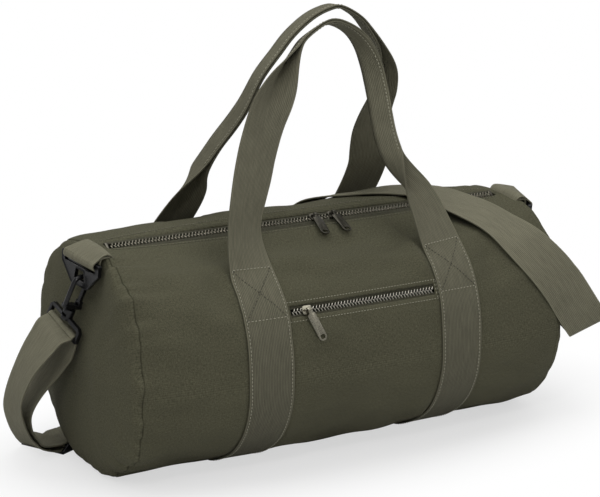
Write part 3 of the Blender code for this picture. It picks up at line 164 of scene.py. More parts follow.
def skin_yz(side, x, turn):
    """Superellipse section: power 2.6 above the girth and 2 below it, flattened on the floor."""
    out, up = np.cos(turn), np.sin(turn)
    power = np.where(up > 0, UPPER_POWER, LOWER_POWER)
    y = side * half_depth_at(x) * np.sign(out) * np.abs(out) ** (2 / power)
    crest = toward_end(x, np.where(side < 0, FRONT_HEIGHT, REAR_HEIGHT), END_HEIGHT)
    roll = np.maximum(0.0, 1 - (y - REAR_LIP_Y) / 0.012)
    upper = GIRTH_LEVEL + (crest - GIRTH_LEVEL) * np.abs(up) ** (2 / power)
    upper = upper - np.where(side < 0, sag_at(x, y), toward_end(x, 0.0025, 0.0) * roll ** 2)
    lower = GIRTH_LEVEL - (GIRTH_LEVEL + FLOOR_PRESS) * np.abs(up) ** (2 / power)
    return y, np.maximum(np.where(up > 0, upper, lower), BED * under_web(x) + 0.0004)


def turn_at(x, reach):
    """The turn about the girth where the upper section is this far out from the middle plane."""
    return np.arccos(np.sign(reach) * (np.abs(reach) / half_depth_at(x)) ** (UPPER_POWER / 2))


def lip_turn(side, x):
    """Where the panel ends at the main zip, as a turn about the girth."""
    return turn_at(x, np.where(side < 0, -FRONT_LIP_Y, REAR_LIP_Y))


def girth_at(side, x, turn):
    """The cloth's own coordinate round the bag: 0 under it, half the girth at a lip."""
    return side * (turn - DOWN) / (lip_turn(side, x) - DOWN) * HALF_GIRTH


# Dents of the slack front: height, x, girth, and half sizes along x and along the girth
DENTS = (
    (-0.0062, 0.058, -0.286, 0.024, 0.016), (0.0034, 0.08, -0.262, 0.01, 0.022),
    (-0.0034, 0.03, -0.256, 0.022, 0.01), (0.002, 0.004, -0.27, 0.018, 0.01),
    (-0.0056, -0.158, -0.262, 0.013, 0.026), (-0.0048, 0.168, -0.25, 0.014, 0.024),
    (-0.0044, -0.06, -0.262, 0.024, 0.012),
)


def crumple(side, x, turn):
    """Soft dents and folds of the slack cloth, fading out at zips, pocket and floor: broad ripples
    115 and 55 mm long, lengthwise furrows between the webbing, dents shaped like a bell curve, and
    puckers that fan from the end seams, most of all from the front of the left one."""
    girth = girth_at(side, x, turn)
    calm = step_up((HALF_GIRTH - np.abs(girth)) / 0.035) * step_up((np.abs(girth) - 0.02) / 0.05)
    pocket = (side < 0) & (np.abs(x) < POCKET_HALF + 0.02)
    off_pocket = np.abs(turn - POCKET_TURN) * 0.15
    calm = np.where(pocket, calm * step_up((off_pocket - 0.01) / 0.02), calm)
    waves = (0.0016 * ripples(x, girth, 0.115, 4) + 0.0008 * ripples(x, girth * 1.5, 0.055, 9)
             + 0.0005 * ripples(x * 0.35, girth, 0.022, 12))
    for height, dent_x, dent_girth, long, wide in DENTS:
        waves = waves + height * bell((x - dent_x) / long) * bell((girth - dent_girth) / wide)
    to_end = np.maximum(HALF_LENGTH - np.abs(x), 0.0)
    fan = np.exp(-to_end / 0.016) + 0.45 * np.exp(-to_end / 0.045)
    fan = fan * np.where((side < 0) & (x < 0), 1.0, 0.15)
    pucker = 0.0018 * fan * ripples(girth, x * 0.1, 0.021, 21, 9)
    curl = SEAM_DEPTH * (1 - np.sqrt(1 - np.clip(1 - to_end / 0.003, 0, 1) ** 2))
    web = under_web(x)
    return calm * (waves * (1 - 0.75 * web) - 0.001 * web + pucker) - curl


def lean_out(side, x, turn):
    """The section's outward normal, from two points a hundredth of a radian to either side."""
    x, turn = np.broadcast_arrays(np.asarray(x, float), np.asarray(turn, float))
    y0, z0 = skin_yz(side, x, turn - 0.01)
    y1, z1 = skin_yz(side, x, turn + 0.01)
    return unit(stack(0.0 * y0, side * (z1 - z0), side * (y0 - y1)))


def skin(side, x, turn, out=0.0, soft=True):
    """Points of the bag's surface, a distance out along the section's normal."""
    x, turn = np.broadcast_arrays(np.asarray(x, float), np.asarray(turn, float))
    off = np.asarray(out + (crumple(side, x, turn) if soft else 0.0))
    points = stack(x, *skin_yz(side, x, turn)) + lean_out(side, x, turn) * off[..., None]
    points[..., 2] = np.maximum(points[..., 2], 0.0002)
    return points


# Meshes

def new_object(name, data):
    """An object of this data, in the scene."""
    made = bpy.data.objects.new(name, data)
    bpy.context.scene.collection.objects.link(made)
    return made


def add_mesh(name, points, faces, uv=None, finish=None):
    """A smooth mesh. Its faces are one array of corners, or a list of arrays of different widths."""
    mesh = bpy.data.meshes.new(name)
    points = np.asarray(points, float).reshape(-1, 3)
    sets = faces if isinstance(faces, list) else [faces]
    corners = np.concatenate([np.ravel(one) for one in sets]).astype(np.int32)
    sizes = np.concatenate([np.full(len(one), one.shape[1]) for one in sets])
    mesh.vertices.add(len(points))
    mesh.vertices.foreach_set("co", points.astype(np.float32).ravel())
    mesh.loops.add(len(corners))
    mesh.loops.foreach_set("vertex_index", corners)
    mesh.polygons.add(len(sizes))
    mesh.polygons.foreach_set("loop_start", (np.cumsum(sizes) - sizes).astype(np.int32))
    mesh.update(calc_edges=True)
    if uv is not None:
        layer = mesh.uv_layers.new(name="cloth")
        layer.data.foreach_set("uv", np.asarray(uv, np.float32).reshape(-1, 2)[corners].ravel())
    mesh.validate()
    mesh.polygons.foreach_set("use_smooth", np.full(len(mesh.polygons), True))
    if finish is not None:
        mesh.materials.append(finish)
    return new_object(name, mesh)


def grid_faces(rows, columns, keep=None, round_columns=False):
    """Quads of a grid; keep is a mask of the cells to keep; round_columns closes the last column."""
    wide = columns if round_columns else columns - 1
    r, c = np.meshgrid(np.arange(rows - 1), np.arange(wide), indexing="ij")
    ahead = (c + 1) % columns
    low, high = r * columns, (r + 1) * columns
    quads = stack(low + c, low + ahead, high + ahead, high + c)
    if keep is not None:
        return quads[keep]
    return quads.reshape(-1, 4)


def facing(points, faces, outward):
    """The faces, turned over if they look against the outward direction on the whole."""
    p = np.asarray(points).reshape(-1, 3)
    normal = np.cross(p[faces[:, 1]] - p[faces[:, 0]], p[faces[:, 2]] - p[faces[:, 0]])
    way = np.asarray(outward).reshape(-1, 3)[faces[:, 0]]
    return faces[:, ::-1] if (normal * way).sum() < 0 else faces


def thicken(made, thickness, offset=0.0):
    """A wall by Solidify."""
    wall = made.modifiers.new("wall", "SOLIDIFY")
    wall.thickness = thickness
    wall.offset = offset
    wall.use_even_offset = False
    return made


def strip(name, rows, finish):
    """A band of webbing through rows of points, with its own UV in metres: across, then along."""
    uv = stack(ACROSS, along(rows[:, len(ACROSS) // 2])[:, None])
    return thicken(add_mesh(name, rows, grid_faces(*rows.shape[:2]), uv, finish), WEB_THICK)


def add_copies(name, points, quads, finish):
    """Many copies of one tube as a mesh, their ends closed: points of each copy, and quads of one."""
    steps = np.arange(len(points)) * points.shape[1]
    made = add_mesh(name, points, (quads[None] + steps[:, None, None]).reshape(-1, 4), None, finish)
    work = bmesh.new()
    work.from_mesh(made.data)
    bmesh.ops.holes_fill(work, edges=[e for e in work.edges if len(e.link_faces) == 1], sides=0)
    bmesh.ops.recalc_face_normals(work, faces=work.faces)
    for face in work.faces:
        face.smooth = True
    work.to_mesh(made.data)
    work.free()
    return made


def dress(made, node, body="bag"):
    """The piece stands in for the node and rides on its body."""
    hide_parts(node)
    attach(made, body)


# Materials

class Nodes:
    """Short calls for building one node tree."""

    def __init__(self, tree):
        self.tree = tree

    def feed(self, node, inputs):
        """Links what is a socket into the node's inputs, and sets what is a number or a colour."""
        for key, value in inputs.items():
            if isinstance(value, bpy.types.NodeSocket):
                self.tree.links.new(value, node.inputs[key])
            else:
                node.inputs[key].default_value = value

    def add(self, kind, inputs=None, **settings):
        made = self.tree.nodes.new("ShaderNode" + kind)
        for key, value in settings.items():
            setattr(made, key, value)
        self.feed(made, inputs or {})
        return made

    def math(self, operation, *values):
        return self.add("Math", dict(enumerate(values)), operation=operation).outputs[0]

    def times(self, a, b):
        return self.math("MULTIPLY", a, b)

    def mix(self, factor, a, b, blend="MIX"):
        made = self.add("Mix", {0: factor, 6: a, 7: b}, data_type="RGBA", blend_type=blend)
        return made.outputs[2]

    def noise(self, vector, scale, detail):
        return self.add("TexNoise", {"Vector": vector, "Scale": scale, "Detail": detail}).outputs["Fac"]

    def stretch(self, vector, scale):
        return self.add("Mapping", {"Vector": vector, "Scale": scale}).outputs[0]

    def ramp(self, value, first, last, low, high, **settings):
        """From low, where the value is first, to high, where it is last, and held beyond both."""
        return self.add("MapRange", {0: value, 1: first, 2: last, 3: low, 4: high}, **settings).outputs[0]

    def shade(self, colour, tone, low, high):
        """The colour times a factor that runs from low to high with the tone."""
        factor = self.ramp(tone, 0.3, 0.7, low, high)
        grey = self.add("CombineColor", {0: factor, 1: factor, 2: factor})
        return self.mix(1.0, colour, grey.outputs[0], "MULTIPLY")


def group(name, inputs, outputs):
    """A shader node group: inputs are numbers, or vectors where the value is None."""
    made = bpy.data.node_groups.new(name, "ShaderNodeTree")
    for label, value in inputs.items():
        kind = "NodeSocketVector" if value is None else "NodeSocketFloat"
        socket = made.interface.new_socket(label, in_out="INPUT", socket_type=kind)
        if value is not None:
            socket.default_value = value
    for label in outputs:
        made.interface.new_socket(label, in_out="OUTPUT", socket_type="NodeSocketFloat")
    entry, leave = (made.nodes.new("NodeGroup" + end) for end in ("Input", "Output"))
    return made, Nodes(made), entry.outputs, leave


def make_weave_group():
    """Plain weave: warp and weft take turns on top, each thread crowned like a half sine."""
    made, n, source, sink = group("plain_weave", {"Vector": None, "Threads": 900.0}, ("Height", "Tone"))
    parts = n.add("SeparateXYZ", {0: source["Vector"]}).outputs
    scaled = n.times(source["Threads"], pi)
    warp, weft = (n.math("SINE", n.times(parts[k], scaled)) for k in "XY")
    turn = n.math("GREATER_THAN", n.times(warp, weft), 0.0)
    high = n.math("ADD", n.times(n.math("ABSOLUTE", warp), turn),
                  n.times(n.math("ABSOLUTE", weft), n.math("SUBTRACT", 1.0, turn)))
    slubs = [n.noise(n.stretch(source["Vector"], scale), 900.0, 1.0)
             for scale in ((0.5, 1.0, 1.0), (1.0, 0.5, 1.0))]
    n.feed(sink, {"Height": high, "Tone": n.times(n.math("ADD", *slubs), 0.5)})
    return made


def make_rib_group():
    """Webbing: lengthwise ribs crossed by a fine weft, and a mask along the round selvedge of each side,
    where a highlight is painted.
    """
    made, n, source, sink = group("webbing_ribs", {"Vector": None, "Ribs": 620.0, "Half Width": WEB_HALF},
                                  ("Height", "Selvedge_Highlight", "Tone"))
    parts = n.add("SeparateXYZ", {0: source["Vector"]}).outputs
    wave = n.math("SINE", n.times(parts["X"], n.times(source["Ribs"], pi)))
    shift = n.times(n.math("GREATER_THAN", wave, 0.0), pi / 2)
    weft = n.math("ABSOLUTE", n.math("SINE", n.math("ADD", n.times(parts["Y"], 2600.0), shift)))
    reach = n.math("DIVIDE", n.math("ABSOLUTE", parts["X"]), source["Half Width"])
    edge = n.math("MAXIMUM", n.times(n.math("SUBTRACT", reach, 0.91), 18.0), 0.0)
    n.feed(sink, {
        "Height": n.math("ADD", n.times(n.math("ABSOLUTE", wave), 0.6), n.times(weft, 0.4)),
        # Mask of each selvedge, where a painted highlight lies.
        "Selvedge_Highlight": n.math("SMOOTH_MIN", edge, 1.0, 0.2),
        "Tone": n.noise(n.stretch(source["Vector"], (1.0, 0.12, 1.0)), 420.0, 2.0),
    })
    return made


def make_wear_group():
    """Broad uneven tone of handled cloth or plastic: two sizes of noise, about a half in the middle."""
    made, n, source, sink = group("handled_tone", {"Vector": None, "Broad": 9.0, "Fine": 60.0},
                                  ("Tone", "Grain"))
    broad = n.noise(source["Vector"], source["Broad"], 3.0)
    fine = n.noise(source["Vector"], source["Fine"], 4.0)
    n.feed(sink, {"Tone": n.math("ADD", n.times(broad, 0.7), n.times(fine, 0.3)), "Grain": fine})
    return made


WEAVE = make_weave_group()
RIBS = make_rib_group()
WEAR = make_wear_group()


def blank(name):
    """A new material, its nodes and its shader."""
    made = bpy.data.materials.new(name)
    made.use_nodes = True
    return made, Nodes(made.node_tree), made.node_tree.nodes["Principled BSDF"]


def handled(name, broad=9.0, fine=60.0):
    """The same, and places on the object with the handled tone there."""
    made, n, shader = blank(name)
    spot = n.add("TexCoord").outputs["Object"]
    wear = n.add("Group", {"Vector": spot, "Broad": broad, "Fine": fine}, node_tree=WEAR).outputs
    return made, n, shader, spot, wear


def coat(n, shader, colour, rough, height, bump, strength, **numbers):
    """Sets the shader's colour, roughness, relief and plain numbers."""
    relief = n.add("Bump", {"Height": height, "Distance": bump, "Strength": strength}).outputs[0]
    n.feed(shader, {"Base Color": colour, "Roughness": rough, "Normal": relief})
    n.feed(shader, {key.replace("_", " "): value for key, value in numbers.items()})


def woven(name, tree, colour, tones, **inputs):
    """The same again, with threads over the cloth's UV and the colour in three layers of tone: painted shade
    where the threads lie low, the threads' own tone, and the handled tone.
    """
    made, n, shader, spot, wear = handled(name)
    uv = n.add("UVMap", uv_map="cloth").outputs[0]
    threads = n.add("Group", {"Vector": uv, **inputs}, node_tree=tree).outputs
    toned_and_shaded = (*colour, 1.0)
    for tone, (low, high) in zip((threads["Height"], threads["Tone"], wear["Tone"]), tones):
        toned_and_shaded = n.shade(toned_and_shaded, tone, low, high)
    return made, n, shader, spot, wear, threads, toned_and_shaded


def cloth_material(name, colour, threads=950.0, bump=0.0004):
    """Matte woven polyester: threads in relief with painted shade in the weave's hollows, slubs and a broad
    uneven tone.
    """
    # First range: painted shade, darker where the weave lies low; then the slubs' tone and the handled tone.
    tones = ((0.74, 1.12), (0.66, 1.34), (0.92, 1.08))
    made, n, shader, _, wear, weave, toned_and_shaded = woven(name, WEAVE, colour, tones, Threads=threads)
    coat(n, shader, toned_and_shaded, n.ramp(wear["Grain"], 0.0, 1.0, 0.8, 0.95), weave["Height"], bump, 0.8,
         Sheen_Weight=0.05, Sheen_Roughness=0.5, Sheen_Tint=(0.6, 0.58, 0.42, 1.0), Specular_IOR_Level=0.12)
    return made


def webbing_material(name, colour, low=1.0):
    """Polyester webbing: lengthwise ribs, a fine weft across them, painted shade in the rib grooves and a
    painted highlight along each rounded selvedge. Its colour is multiplied by low at the floor, a
    painted shade that fades out 0.2 m up."""
    # First range: painted shade, darker in the rib grooves; then the ribs' own tone and the handled tone.
    tones = ((0.46, 1.26), (0.88, 1.12), (0.94, 1.06))
    made, n, shader, spot, wear, ribs, toned_and_shaded = woven(name, RIBS, colour, tones, Ribs=560.0)
    # Painted shade: darker towards the floor, by the factor low there, fading out 0.2 m up.
    height = n.add("SeparateXYZ", {0: spot}).outputs["Z"]
    toned_and_shaded = n.shade(toned_and_shaded, n.ramp(height, 0.02, 0.22, 0.35, 0.7), low, 1.0)
    # Painted highlight: a paler colour along each rounded selvedge.
    selvedge_highlight = tuple(min(c * 1.45, 1.0) for c in colour)
    toned_and_shaded = n.mix(n.times(ribs["Selvedge_Highlight"], 0.35), toned_and_shaded, (*selvedge_highlight, 1.0))
    coat(n, shader, toned_and_shaded, n.ramp(wear["Grain"], 0.0, 1.0, 0.72, 0.9), ribs["Height"], 0.0006, 0.9,
         Sheen_Weight=0.06, Sheen_Roughness=0.5, Sheen_Tint=(0.65, 0.62, 0.45, 1.0), Specular_IOR_Level=0.18)
    return made


def thread_material(name, colour):
    """Spun polyester thread, a little uneven."""
    made, n, shader, _, wear = handled(name, fine=900.0)
    coat(n, shader, n.shade((*colour, 1.0), wear["Grain"], 0.85, 1.15), 0.6, wear["Grain"], 0.0001, 0.6)
    return made


def plastic_material(name, colour, rough):
    """Moulded acetal: black, fine spark texture, a little dull where it rubs."""
    made, n, shader, _, wear = handled(name, 60.0, 1500.0)
    dull = n.ramp(wear["Tone"], 0.3, 0.7, rough - 0.06, rough + 0.1)
    coat(n, shader, n.shade((*colour, 1.0), wear["Tone"], 0.8, 1.3), dull, wear["Grain"], 0.00004, 0.5,
         Specular_IOR_Level=0.35)
    return made


def metal_material(name, colour, rough):
    """Plated die-cast zinc: slightly uneven plating, duller in patches."""
    made, n, shader, _, wear = handled(name, 120.0, 1200.0)
    dull = n.ramp(wear["Grain"], 0.3, 0.7, rough - 0.08, rough + 0.1)
    coat(n, shader, n.shade((*colour, 1.0), wear["Tone"], 0.93, 1.07), dull, wear["Grain"], 0.00003, 0.5,
         Metallic=1.0)
    return made


OLIVE = cloth_material("olive_canvas", (0.084, 0.081, 0.051))
OLIVE_LINING = cloth_material("olive_lining", (0.04, 0.04, 0.03), 1600.0, 0.0001)
TAPE = cloth_material("zip_tape_weave", (0.058, 0.056, 0.039), 1500.0, 0.00012)
BINDING = cloth_material("seam_binding_weave", (0.05, 0.05, 0.036), 1300.0, 0.00015)
# The handles' webbing carries painted shade towards the floor, with low at 0.6.
WEBBING = webbing_material("olive_webbing", (0.122, 0.116, 0.08), 0.6)
STRAP_WEBBING = webbing_material("olive_strap_webbing", (0.153, 0.146, 0.101))
THREAD = thread_material("olive_thread", (0.3, 0.288, 0.215))
THREAD_DARK = thread_material("deep_olive_thread", (0.13, 0.125, 0.085))
# Painted shade: the same olive thread, darker for the cross stitches that lie in shade.
THREAD_SHADED = thread_material("shaded_olive_thread", (0.048, 0.045, 0.028))
PLASTIC = plastic_material("black_acetal", (0.004, 0.004, 0.0045), 0.24)
BRONZE = metal_material("dark_bronze_plating", (0.085, 0.08, 0.064), 0.32)
BRASS = metal_material("antique_brass_plating", (0.24, 0.225, 0.175), 0.28)
CHAMPAGNE = metal_material("champagne_plating", (0.44, 0.42, 0.36), 0.28)
NICKEL = metal_material("pale_brass_plating", (0.27, 0.255, 0.2), 0.3)


# Stitches

def stitches(name, runs, finish, body, pitch=0.0039, length=0.0026, radius=0.00045):
    """Thread stitches along runs: each run is a path of points and its outward normals. A stitch is
    a little spindle of five sides, sunk at both ends, repeated every pitch."""
    rings, swell, rise = (np.array(row)[:, None] for row in (
        (-0.5, -0.25, 0.25, 0.5), (0.25, 1.0, 1.0, 0.25), (-0.5, 0.35, 0.35, -0.5)))
    turns = np.arange(5) * 2 * pi / 5
    cell = stack(rings * length, swell * np.cos(turns) * radius, (swell * np.sin(turns) + rise) * radius)
    cell = cell.reshape(-1, 3)
    copies = []
    for path, normals in runs:
        total = along(path)[-1]
        count = max(int(total / pitch), 1)
        places = (np.arange(count) + 0.5) * total / count
        middle, normal = resample(path, places, normals)
        ahead, behind = (resample(path, places + length * way)[0] for way in (0.3, -0.3))
        run = unit(ahead - behind)
        normal = unit(normal - run * (normal * run).sum(-1, keepdims=True))
        across = np.cross(normal, run)
        copies.append(middle[:, None] + run[:, None] * cell[:, :1] + across[:, None] * cell[:, 1:2]
                      + normal[:, None] * cell[:, 2:])
    quads = grid_faces(4, 5, round_columns=True)
    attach(add_copies(name, np.concatenate(copies), quads, finish), body)


def skin_line(side, x0, turn0, x1, turn1, out, count=40):
    """A line drawn on the bag from one place to another, and the normals there."""
    t = np.linspace(0, 1, count)
    x, turn = x0 + (x1 - x0) * t, turn0 + (turn1 - turn0) * t
    return skin(side, x, turn, out), lean_out(side, x, turn)


# Main panel and end panels

def arc_per_turn():
    """Metres of front panel for one radian of turn at the pocket zip."""
    low, high = (skin(-1, 0.0, POCKET_TURN + way * 0.03, 0.0, False) for way in (-1, 1))
    return float(np.linalg.norm(high - low)) / 0.06


POCKET_ARC = arc_per_turn()
POCKET_LOW = POCKET_TURN - POCKET_OPENING / 2 / POCKET_ARC
POCKET_HIGH = POCKET_TURN + POCKET_OPENING / 2 / POCKET_ARC


def hem_dip(x, turn, side):
    """The folded edge of a zip opening rolls in over 2.8 mm, and its topstitch sinks a groove."""
    to_lip = np.where(np.abs(x) < SLOT_HALF, np.abs(lip_turn(side, x) - turn) * LIP_ARC, 1.0)
    past_x = np.maximum(np.abs(x) - POCKET_HALF, 0)
    past_turn = np.maximum(np.abs(turn - POCKET_TURN) * POCKET_ARC - POCKET_OPENING / 2, 0)
    to_pocket = np.where(side < 0, np.hypot(past_x, past_turn), 1.0)
    dip = 0.0
    for reach in (to_lip, to_pocket):
        dip = dip - 0.001 * (1 - step_up(reach / 0.0028)) + 0.0004 * bell((reach - 0.0026) / 0.0012)
        dip = dip - 0.0005 * bell((reach - STITCH_INSET) / 0.0009)
    return dip


def make_body():
    """The main panel: one grid wrapped from the front lip of the zip, down the front, under the bag
    and up the rear, with the cells of the pocket's opening left out."""
    fine = HALF_LENGTH - np.array((0, 0.6, 1.2, 2, 3, 4.2, 5.6, 7.4, 9.5, 12, 15)) * 0.001
    x = np.concatenate([np.linspace(-0.232, 0.232, 165), fine, -fine, [-POCKET_HALF, POCKET_HALF],
                        [-SLOT_HALF, SLOT_HALF]])
    x = np.unique(np.round(x, 5))
    rows = [np.linspace(1, 0, 58)[:, None], np.linspace(0, 1, 56)[1:, None],
            np.linspace(0, 1, 100)[1:, None] ** 0.93]
    above = POCKET_HIGH + (lip_turn(-1, x) - POCKET_HIGH) * rows[0]
    across = np.linspace(POCKET_HIGH, POCKET_LOW, 5)[1:, None] + 0 * x
    below = POCKET_LOW + (DOWN - POCKET_LOW) * rows[1] + 0 * x
    rear = DOWN + (lip_turn(1, x) - DOWN) * rows[2]
    turns = np.concatenate([above, across, below, rear])
    side = np.where(np.arange(len(turns)) < len(turns) - len(rear), -1, 1)[:, None] * np.ones_like(turns)
    places = np.broadcast_to(x, turns.shape)
    points = skin(side, places, turns, hem_dip(places, turns, side))
    least, most = (pick(np.abs(x[:-1]), np.abs(x[1:])) for pick in (np.minimum, np.maximum))
    keep = np.ones((len(turns) - 1, len(x) - 1), bool)
    keep[len(above) - 1:len(above) - 1 + len(across), most <= POCKET_HALF + 1e-6] = False
    ends = np.nonzero(least >= SLOT_HALF - 1e-6)[0]
    last = (len(turns) - 1) * len(x) + ends
    faces = np.concatenate([grid_faces(*turns.shape, keep), stack(last, last + 1, ends + 1, ends)])
    faces = facing(points, faces, lean_out(side, places, turns))
    uv = stack(places, girth_at(side, places, turns))
    made = add_mesh("olive_main_panel", points, faces, uv, OLIVE)
    dress(thicken(made, WALL, -1.0), "main_panel")


def outline_at(x, count, out=0.0, soft=True):
    """The panel's outline at one x, from the rear lip under the bag and up to the front lip."""
    share = np.linspace(0, 1, count)
    rear, front = (skin(side, x, DOWN + (lip_turn(side, x) - DOWN) * share, out, soft) for side in (1, -1))
    return np.concatenate([rear[::-1], front[1:]])


def end_dent(y, z):
    """The hollow of an end panel behind its ring and hook: a bell curve 28 mm wide."""
    return np.exp(-((y + 0.02) ** 2 + (z - 0.2) ** 2) / (2 * 0.028 ** 2))


def make_end(word, side):
    """An end panel: the rim shrunk towards the girth's middle, standing out like a shallow pillow,
    dented where the ring and hook lie, with puckers fanning in from the seam."""
    rim = outline_at(side * HALF_LENGTH, 110)
    share = (1 - (1 - np.linspace(0, 1, 64)) ** 1.9)[1:, None]
    y = rim[:, 1] * share
    z = GIRTH_LEVEL + (rim[:, 2] - GIRTH_LEVEL) * share
    dent = end_dent(y, z)
    bulge = (1 - share ** 2.5) ** (1 / 2.5) * (0.022 - 0.017 * dent)
    edge = (1 - share) * 0.12
    pucker = (0.0012 * np.exp(-edge / 0.009) + 0.0005 * np.exp(-edge / 0.03)) * step_up(edge / 0.003)
    pucker = pucker * ripples(np.linspace(0, 1, len(rim)) * 0.68, edge * 0.4, 0.023, 31 + side, 9)
    pucker = pucker * (0.3 + 0.7 * step_up(0.5 - y / 0.1)) * (1.0 if side < 0 else 0.25)
    slack = 0.0026 * ripples(y, z * 0.5, 0.11, 40 + side) + 0.0007 * ripples(y, z * 0.5, 0.05, 50 + side)
    slack = 0.8 * slack * step_up(edge / 0.02) * (1 - 0.8 * dent)
    x = side * (HALF_LENGTH + 0.0002 + bulge + pucker + slack)
    middle = side * (HALF_LENGTH + 0.0242 - 0.017 * end_dent(0.0, GIRTH_LEVEL))
    points = np.concatenate([[(middle, 0.0, GIRTH_LEVEL)], stack(x, y, np.maximum(z, 0.0006)).reshape(-1, 3)])
    ring = np.arange(len(rim))
    outward = np.broadcast_to((side, 0, 0), points.shape)
    faces = [facing(points, one, outward) for one in (
        grid_faces(len(share), len(rim), round_columns=True) + 1,
        stack(0, 1 + (ring + 1) % len(rim), 1 + ring))]
    made = add_mesh("olive_end_" + word, points, faces, points[:, 1:], OLIVE)
    dress(thicken(made, WALL, -1.0), "end_panel_" + word)


def make_binding(word, side):
    """Tape bound over the seam allowance inside an end seam: a ring about 8 mm wide."""
    rows = np.array([outline_at(side * (HALF_LENGTH - 0.0034 - reach), 70, -0.0062, False)
                     for reach in (0.0006, 0.003, 0.006, 0.009)])
    uv = stack(np.linspace(0, 0.009, 4)[:, None], np.linspace(0, 0.7, rows.shape[1]))
    made = add_mesh("seam_tape_" + word, rows, grid_faces(*rows.shape[:2], round_columns=True), uv, BINDING)
    dress(thicken(made, 0.001), "seam_binding_" + word)


# Webbing

ACROSS = WEB_HALF * np.sin(np.linspace(-pi / 2, pi / 2, 17))
# Depth and height of each handle's seam, and the turn at the top of its boxes
SEAMS = {-1: (-0.08877, 0.21536), 1: (0.09413, 0.2216)}
BOX_TOPS = {-1: radians(55.0), 1: radians(52.0)}
HANDLE_RISE = 0.235
ON_SKIN = 0.0003 + WEB_THICK / 2 + 0.0002

# Stations of each handle: thousandths of the strap's x, of the seam's depth and of the rise, the
# fold in degrees, and hundredths for the way the selvedges lean
HANDLE_UNITS = (0.001, 0.001, 0.001, 1, 0.01, 0.01, 0.01)
FRONT_HANDLE = (
    (-1026, 940, 72, 0, 30, -86, 34), (-983, 845, 160, 0, 40, -86, 30), (-930, 770, 242, 0, 38, -87, 21),
    (-860, 690, 320, 0, 32, -89, 23), (-791, 620, 396, 0, 27, -90, 25), (-696, 520, 498, 2, 25, -93, 20),
    (-557, 405, 626, 10, 24, -94, 20), (-400, 290, 728, 38, 15, -95, 25),
    (-260, 180, 813, 68, 8, -95, 30), (-130, 100, 881, 85, 0, -94, 34), (-17, 75, 932, 87, 0, -94, 34),
    (217, 73, 985, 87, 0, -94, 34), (426, 85, 951, 87, 15, -95, 27), (557, 140, 881, 87, 40, -85, 20),
    (626, 213, 787, 87, 70, -70, 10), (652, 290, 685, 87, 87, -49, 0), (650, 405, 574, 87, 87, -49, 0),
    (652, 500, 485, 86, 87, -49, 0), (678, 585, 404, 78, 85, -52, 0), (735, 665, 323, 54, 62, -72, 20),
    (843, 777, 221, 24, 30, -80, 39), (922, 850, 149, 9, 25, -85, 36), (983, 935, 72, 0, 20, -88, 37),
)
REAR_HANDLE = (
    (-960, 920, 75, 8, 0, -93, -33), (-890, 760, 180, 36, 5, -94, -22),
    (-861, 650, 265, 66, 10, -95, -10), (-809, 555, 332, 82, 15, -95, 0),
    (-713, 450, 425, 87, 15, -95, 0), (-609, 335, 515, 87, 12, -98, 0), (-540, 200, 605, 87, 6, -100, 0),
    (-435, 95, 736, 87, 0, -100, 0), (-270, 63, 838, 87, 0, -100, 0), (-122, 63, 915, 87, 0, -100, 0),
    (70, 63, 983, 87, 0, -100, 0), (243, 63, 1017, 87, 0, -100, 0), (383, 63, 1021, 87, 0, -100, 0),
    (574, 63, 970, 87, 0, -100, 0), (696, 63, 906, 86, 3, -100, 0), (826, 75, 815, 80, 8, -98, -10),
    (904, 115, 719, 62, 12, -93, -25), (930, 225, 609, 36, 16, -85, -42),
    (922, 330, 506, 16, 17, -81, -50), (948, 450, 417, 6, 10, -81, -50), (1000, 572, 319, 0, 2, -82, -48),
    (1045, 690, 226, 0, -5, -86, -42), (1055, 870, 115, 0, -3, -90, -36), (1005, 965, 45, 0, 0, -93, -34),
)
HANDLES = {-1: FRONT_HANDLE, 1: REAR_HANDLE}


def handle_rows(side, widths, lift=0.0):
    """Rows across a handle, and the ways their faces look. It is flat where it leaves the bag and
    folded lengthwise like a V at the grip: a row is its ridge plus the width, turned by the fold
    away from the band's plane. Lift moves it out along the face."""
    depth, seam = SEAMS[side]
    data = np.array(HANDLES[side]) * HANDLE_UNITS
    place = data[:, :3] * (STRAP_X, depth, HANDLE_RISE) + (0, 0, seam)
    full = np.concatenate([[(-STRAP_X, depth, seam)], place, [(STRAP_X, depth, seam)]])
    smooth = through(np.concatenate([place, np.radians(data[:, 3:4]), data[:, 4:]], axis=-1), 3)
    ahead = through(np.gradient(full, axis=0)[1:-1], 3)
    centre, fold, lean = smooth[:, :3], np.clip(smooth[:, 3:4], 0, radians(87)), unit(smooth[:, 4:])
    run = unit(ahead)
    across = unit(np.cross(run, lean))
    lean = unit(np.cross(across, run))
    sine, cosine = np.sin(fold), np.cos(fold)
    ridge = centre - lean * (WEB_HALF * sine / 2)
    s = np.asarray(widths)[None, :]
    soft = 0.0014 * sine ** 2
    size = np.sqrt(s ** 2 + soft ** 2) - soft
    rows = (ridge[:, None] + across[:, None] * (np.sign(s) * size * cosine)[..., None]
            + lean[:, None] * (size * sine)[..., None])
    face = across[:, None] * (np.sign(s) * sine)[..., None] - lean[:, None] * cosine[..., None]
    return rows + face * lift, face


def body_rows(side, foot, sign):
    """Rows across the webbing from under the bag up to the seam of its handle."""
    turns = np.linspace(DOWN, BOX_TOPS[side] - radians(1.5), 46)[:, None]
    x = foot + sign * ACROSS[None, :]
    return skin(side, x, turns, ON_SKIN)


def make_handle(side, node):
    """One length of webbing: up the panel from under the bag, over as a handle, and down again."""
    middle, _ = handle_rows(side, ACROSS)
    up_rows, down_rows = body_rows(side, -STRAP_X, 1), body_rows(side, STRAP_X, -1)[::-1]
    rows = np.concatenate([up_rows, middle[2:-2], down_rows])
    for _ in range(3):
        for edge in (len(up_rows), len(up_rows) + len(middle) - 4):
            before, near, after = (slice(edge - 4 + k, edge + 4 + k) for k in (-1, 0, 1))
            rows[near] = (rows[before] + 2 * rows[near] + rows[after]) / 4
    rows = through(rows, 2)
    made = strip("webbing_" + node, rows, WEBBING)
    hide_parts(node)
    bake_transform(made)
    return made, rows


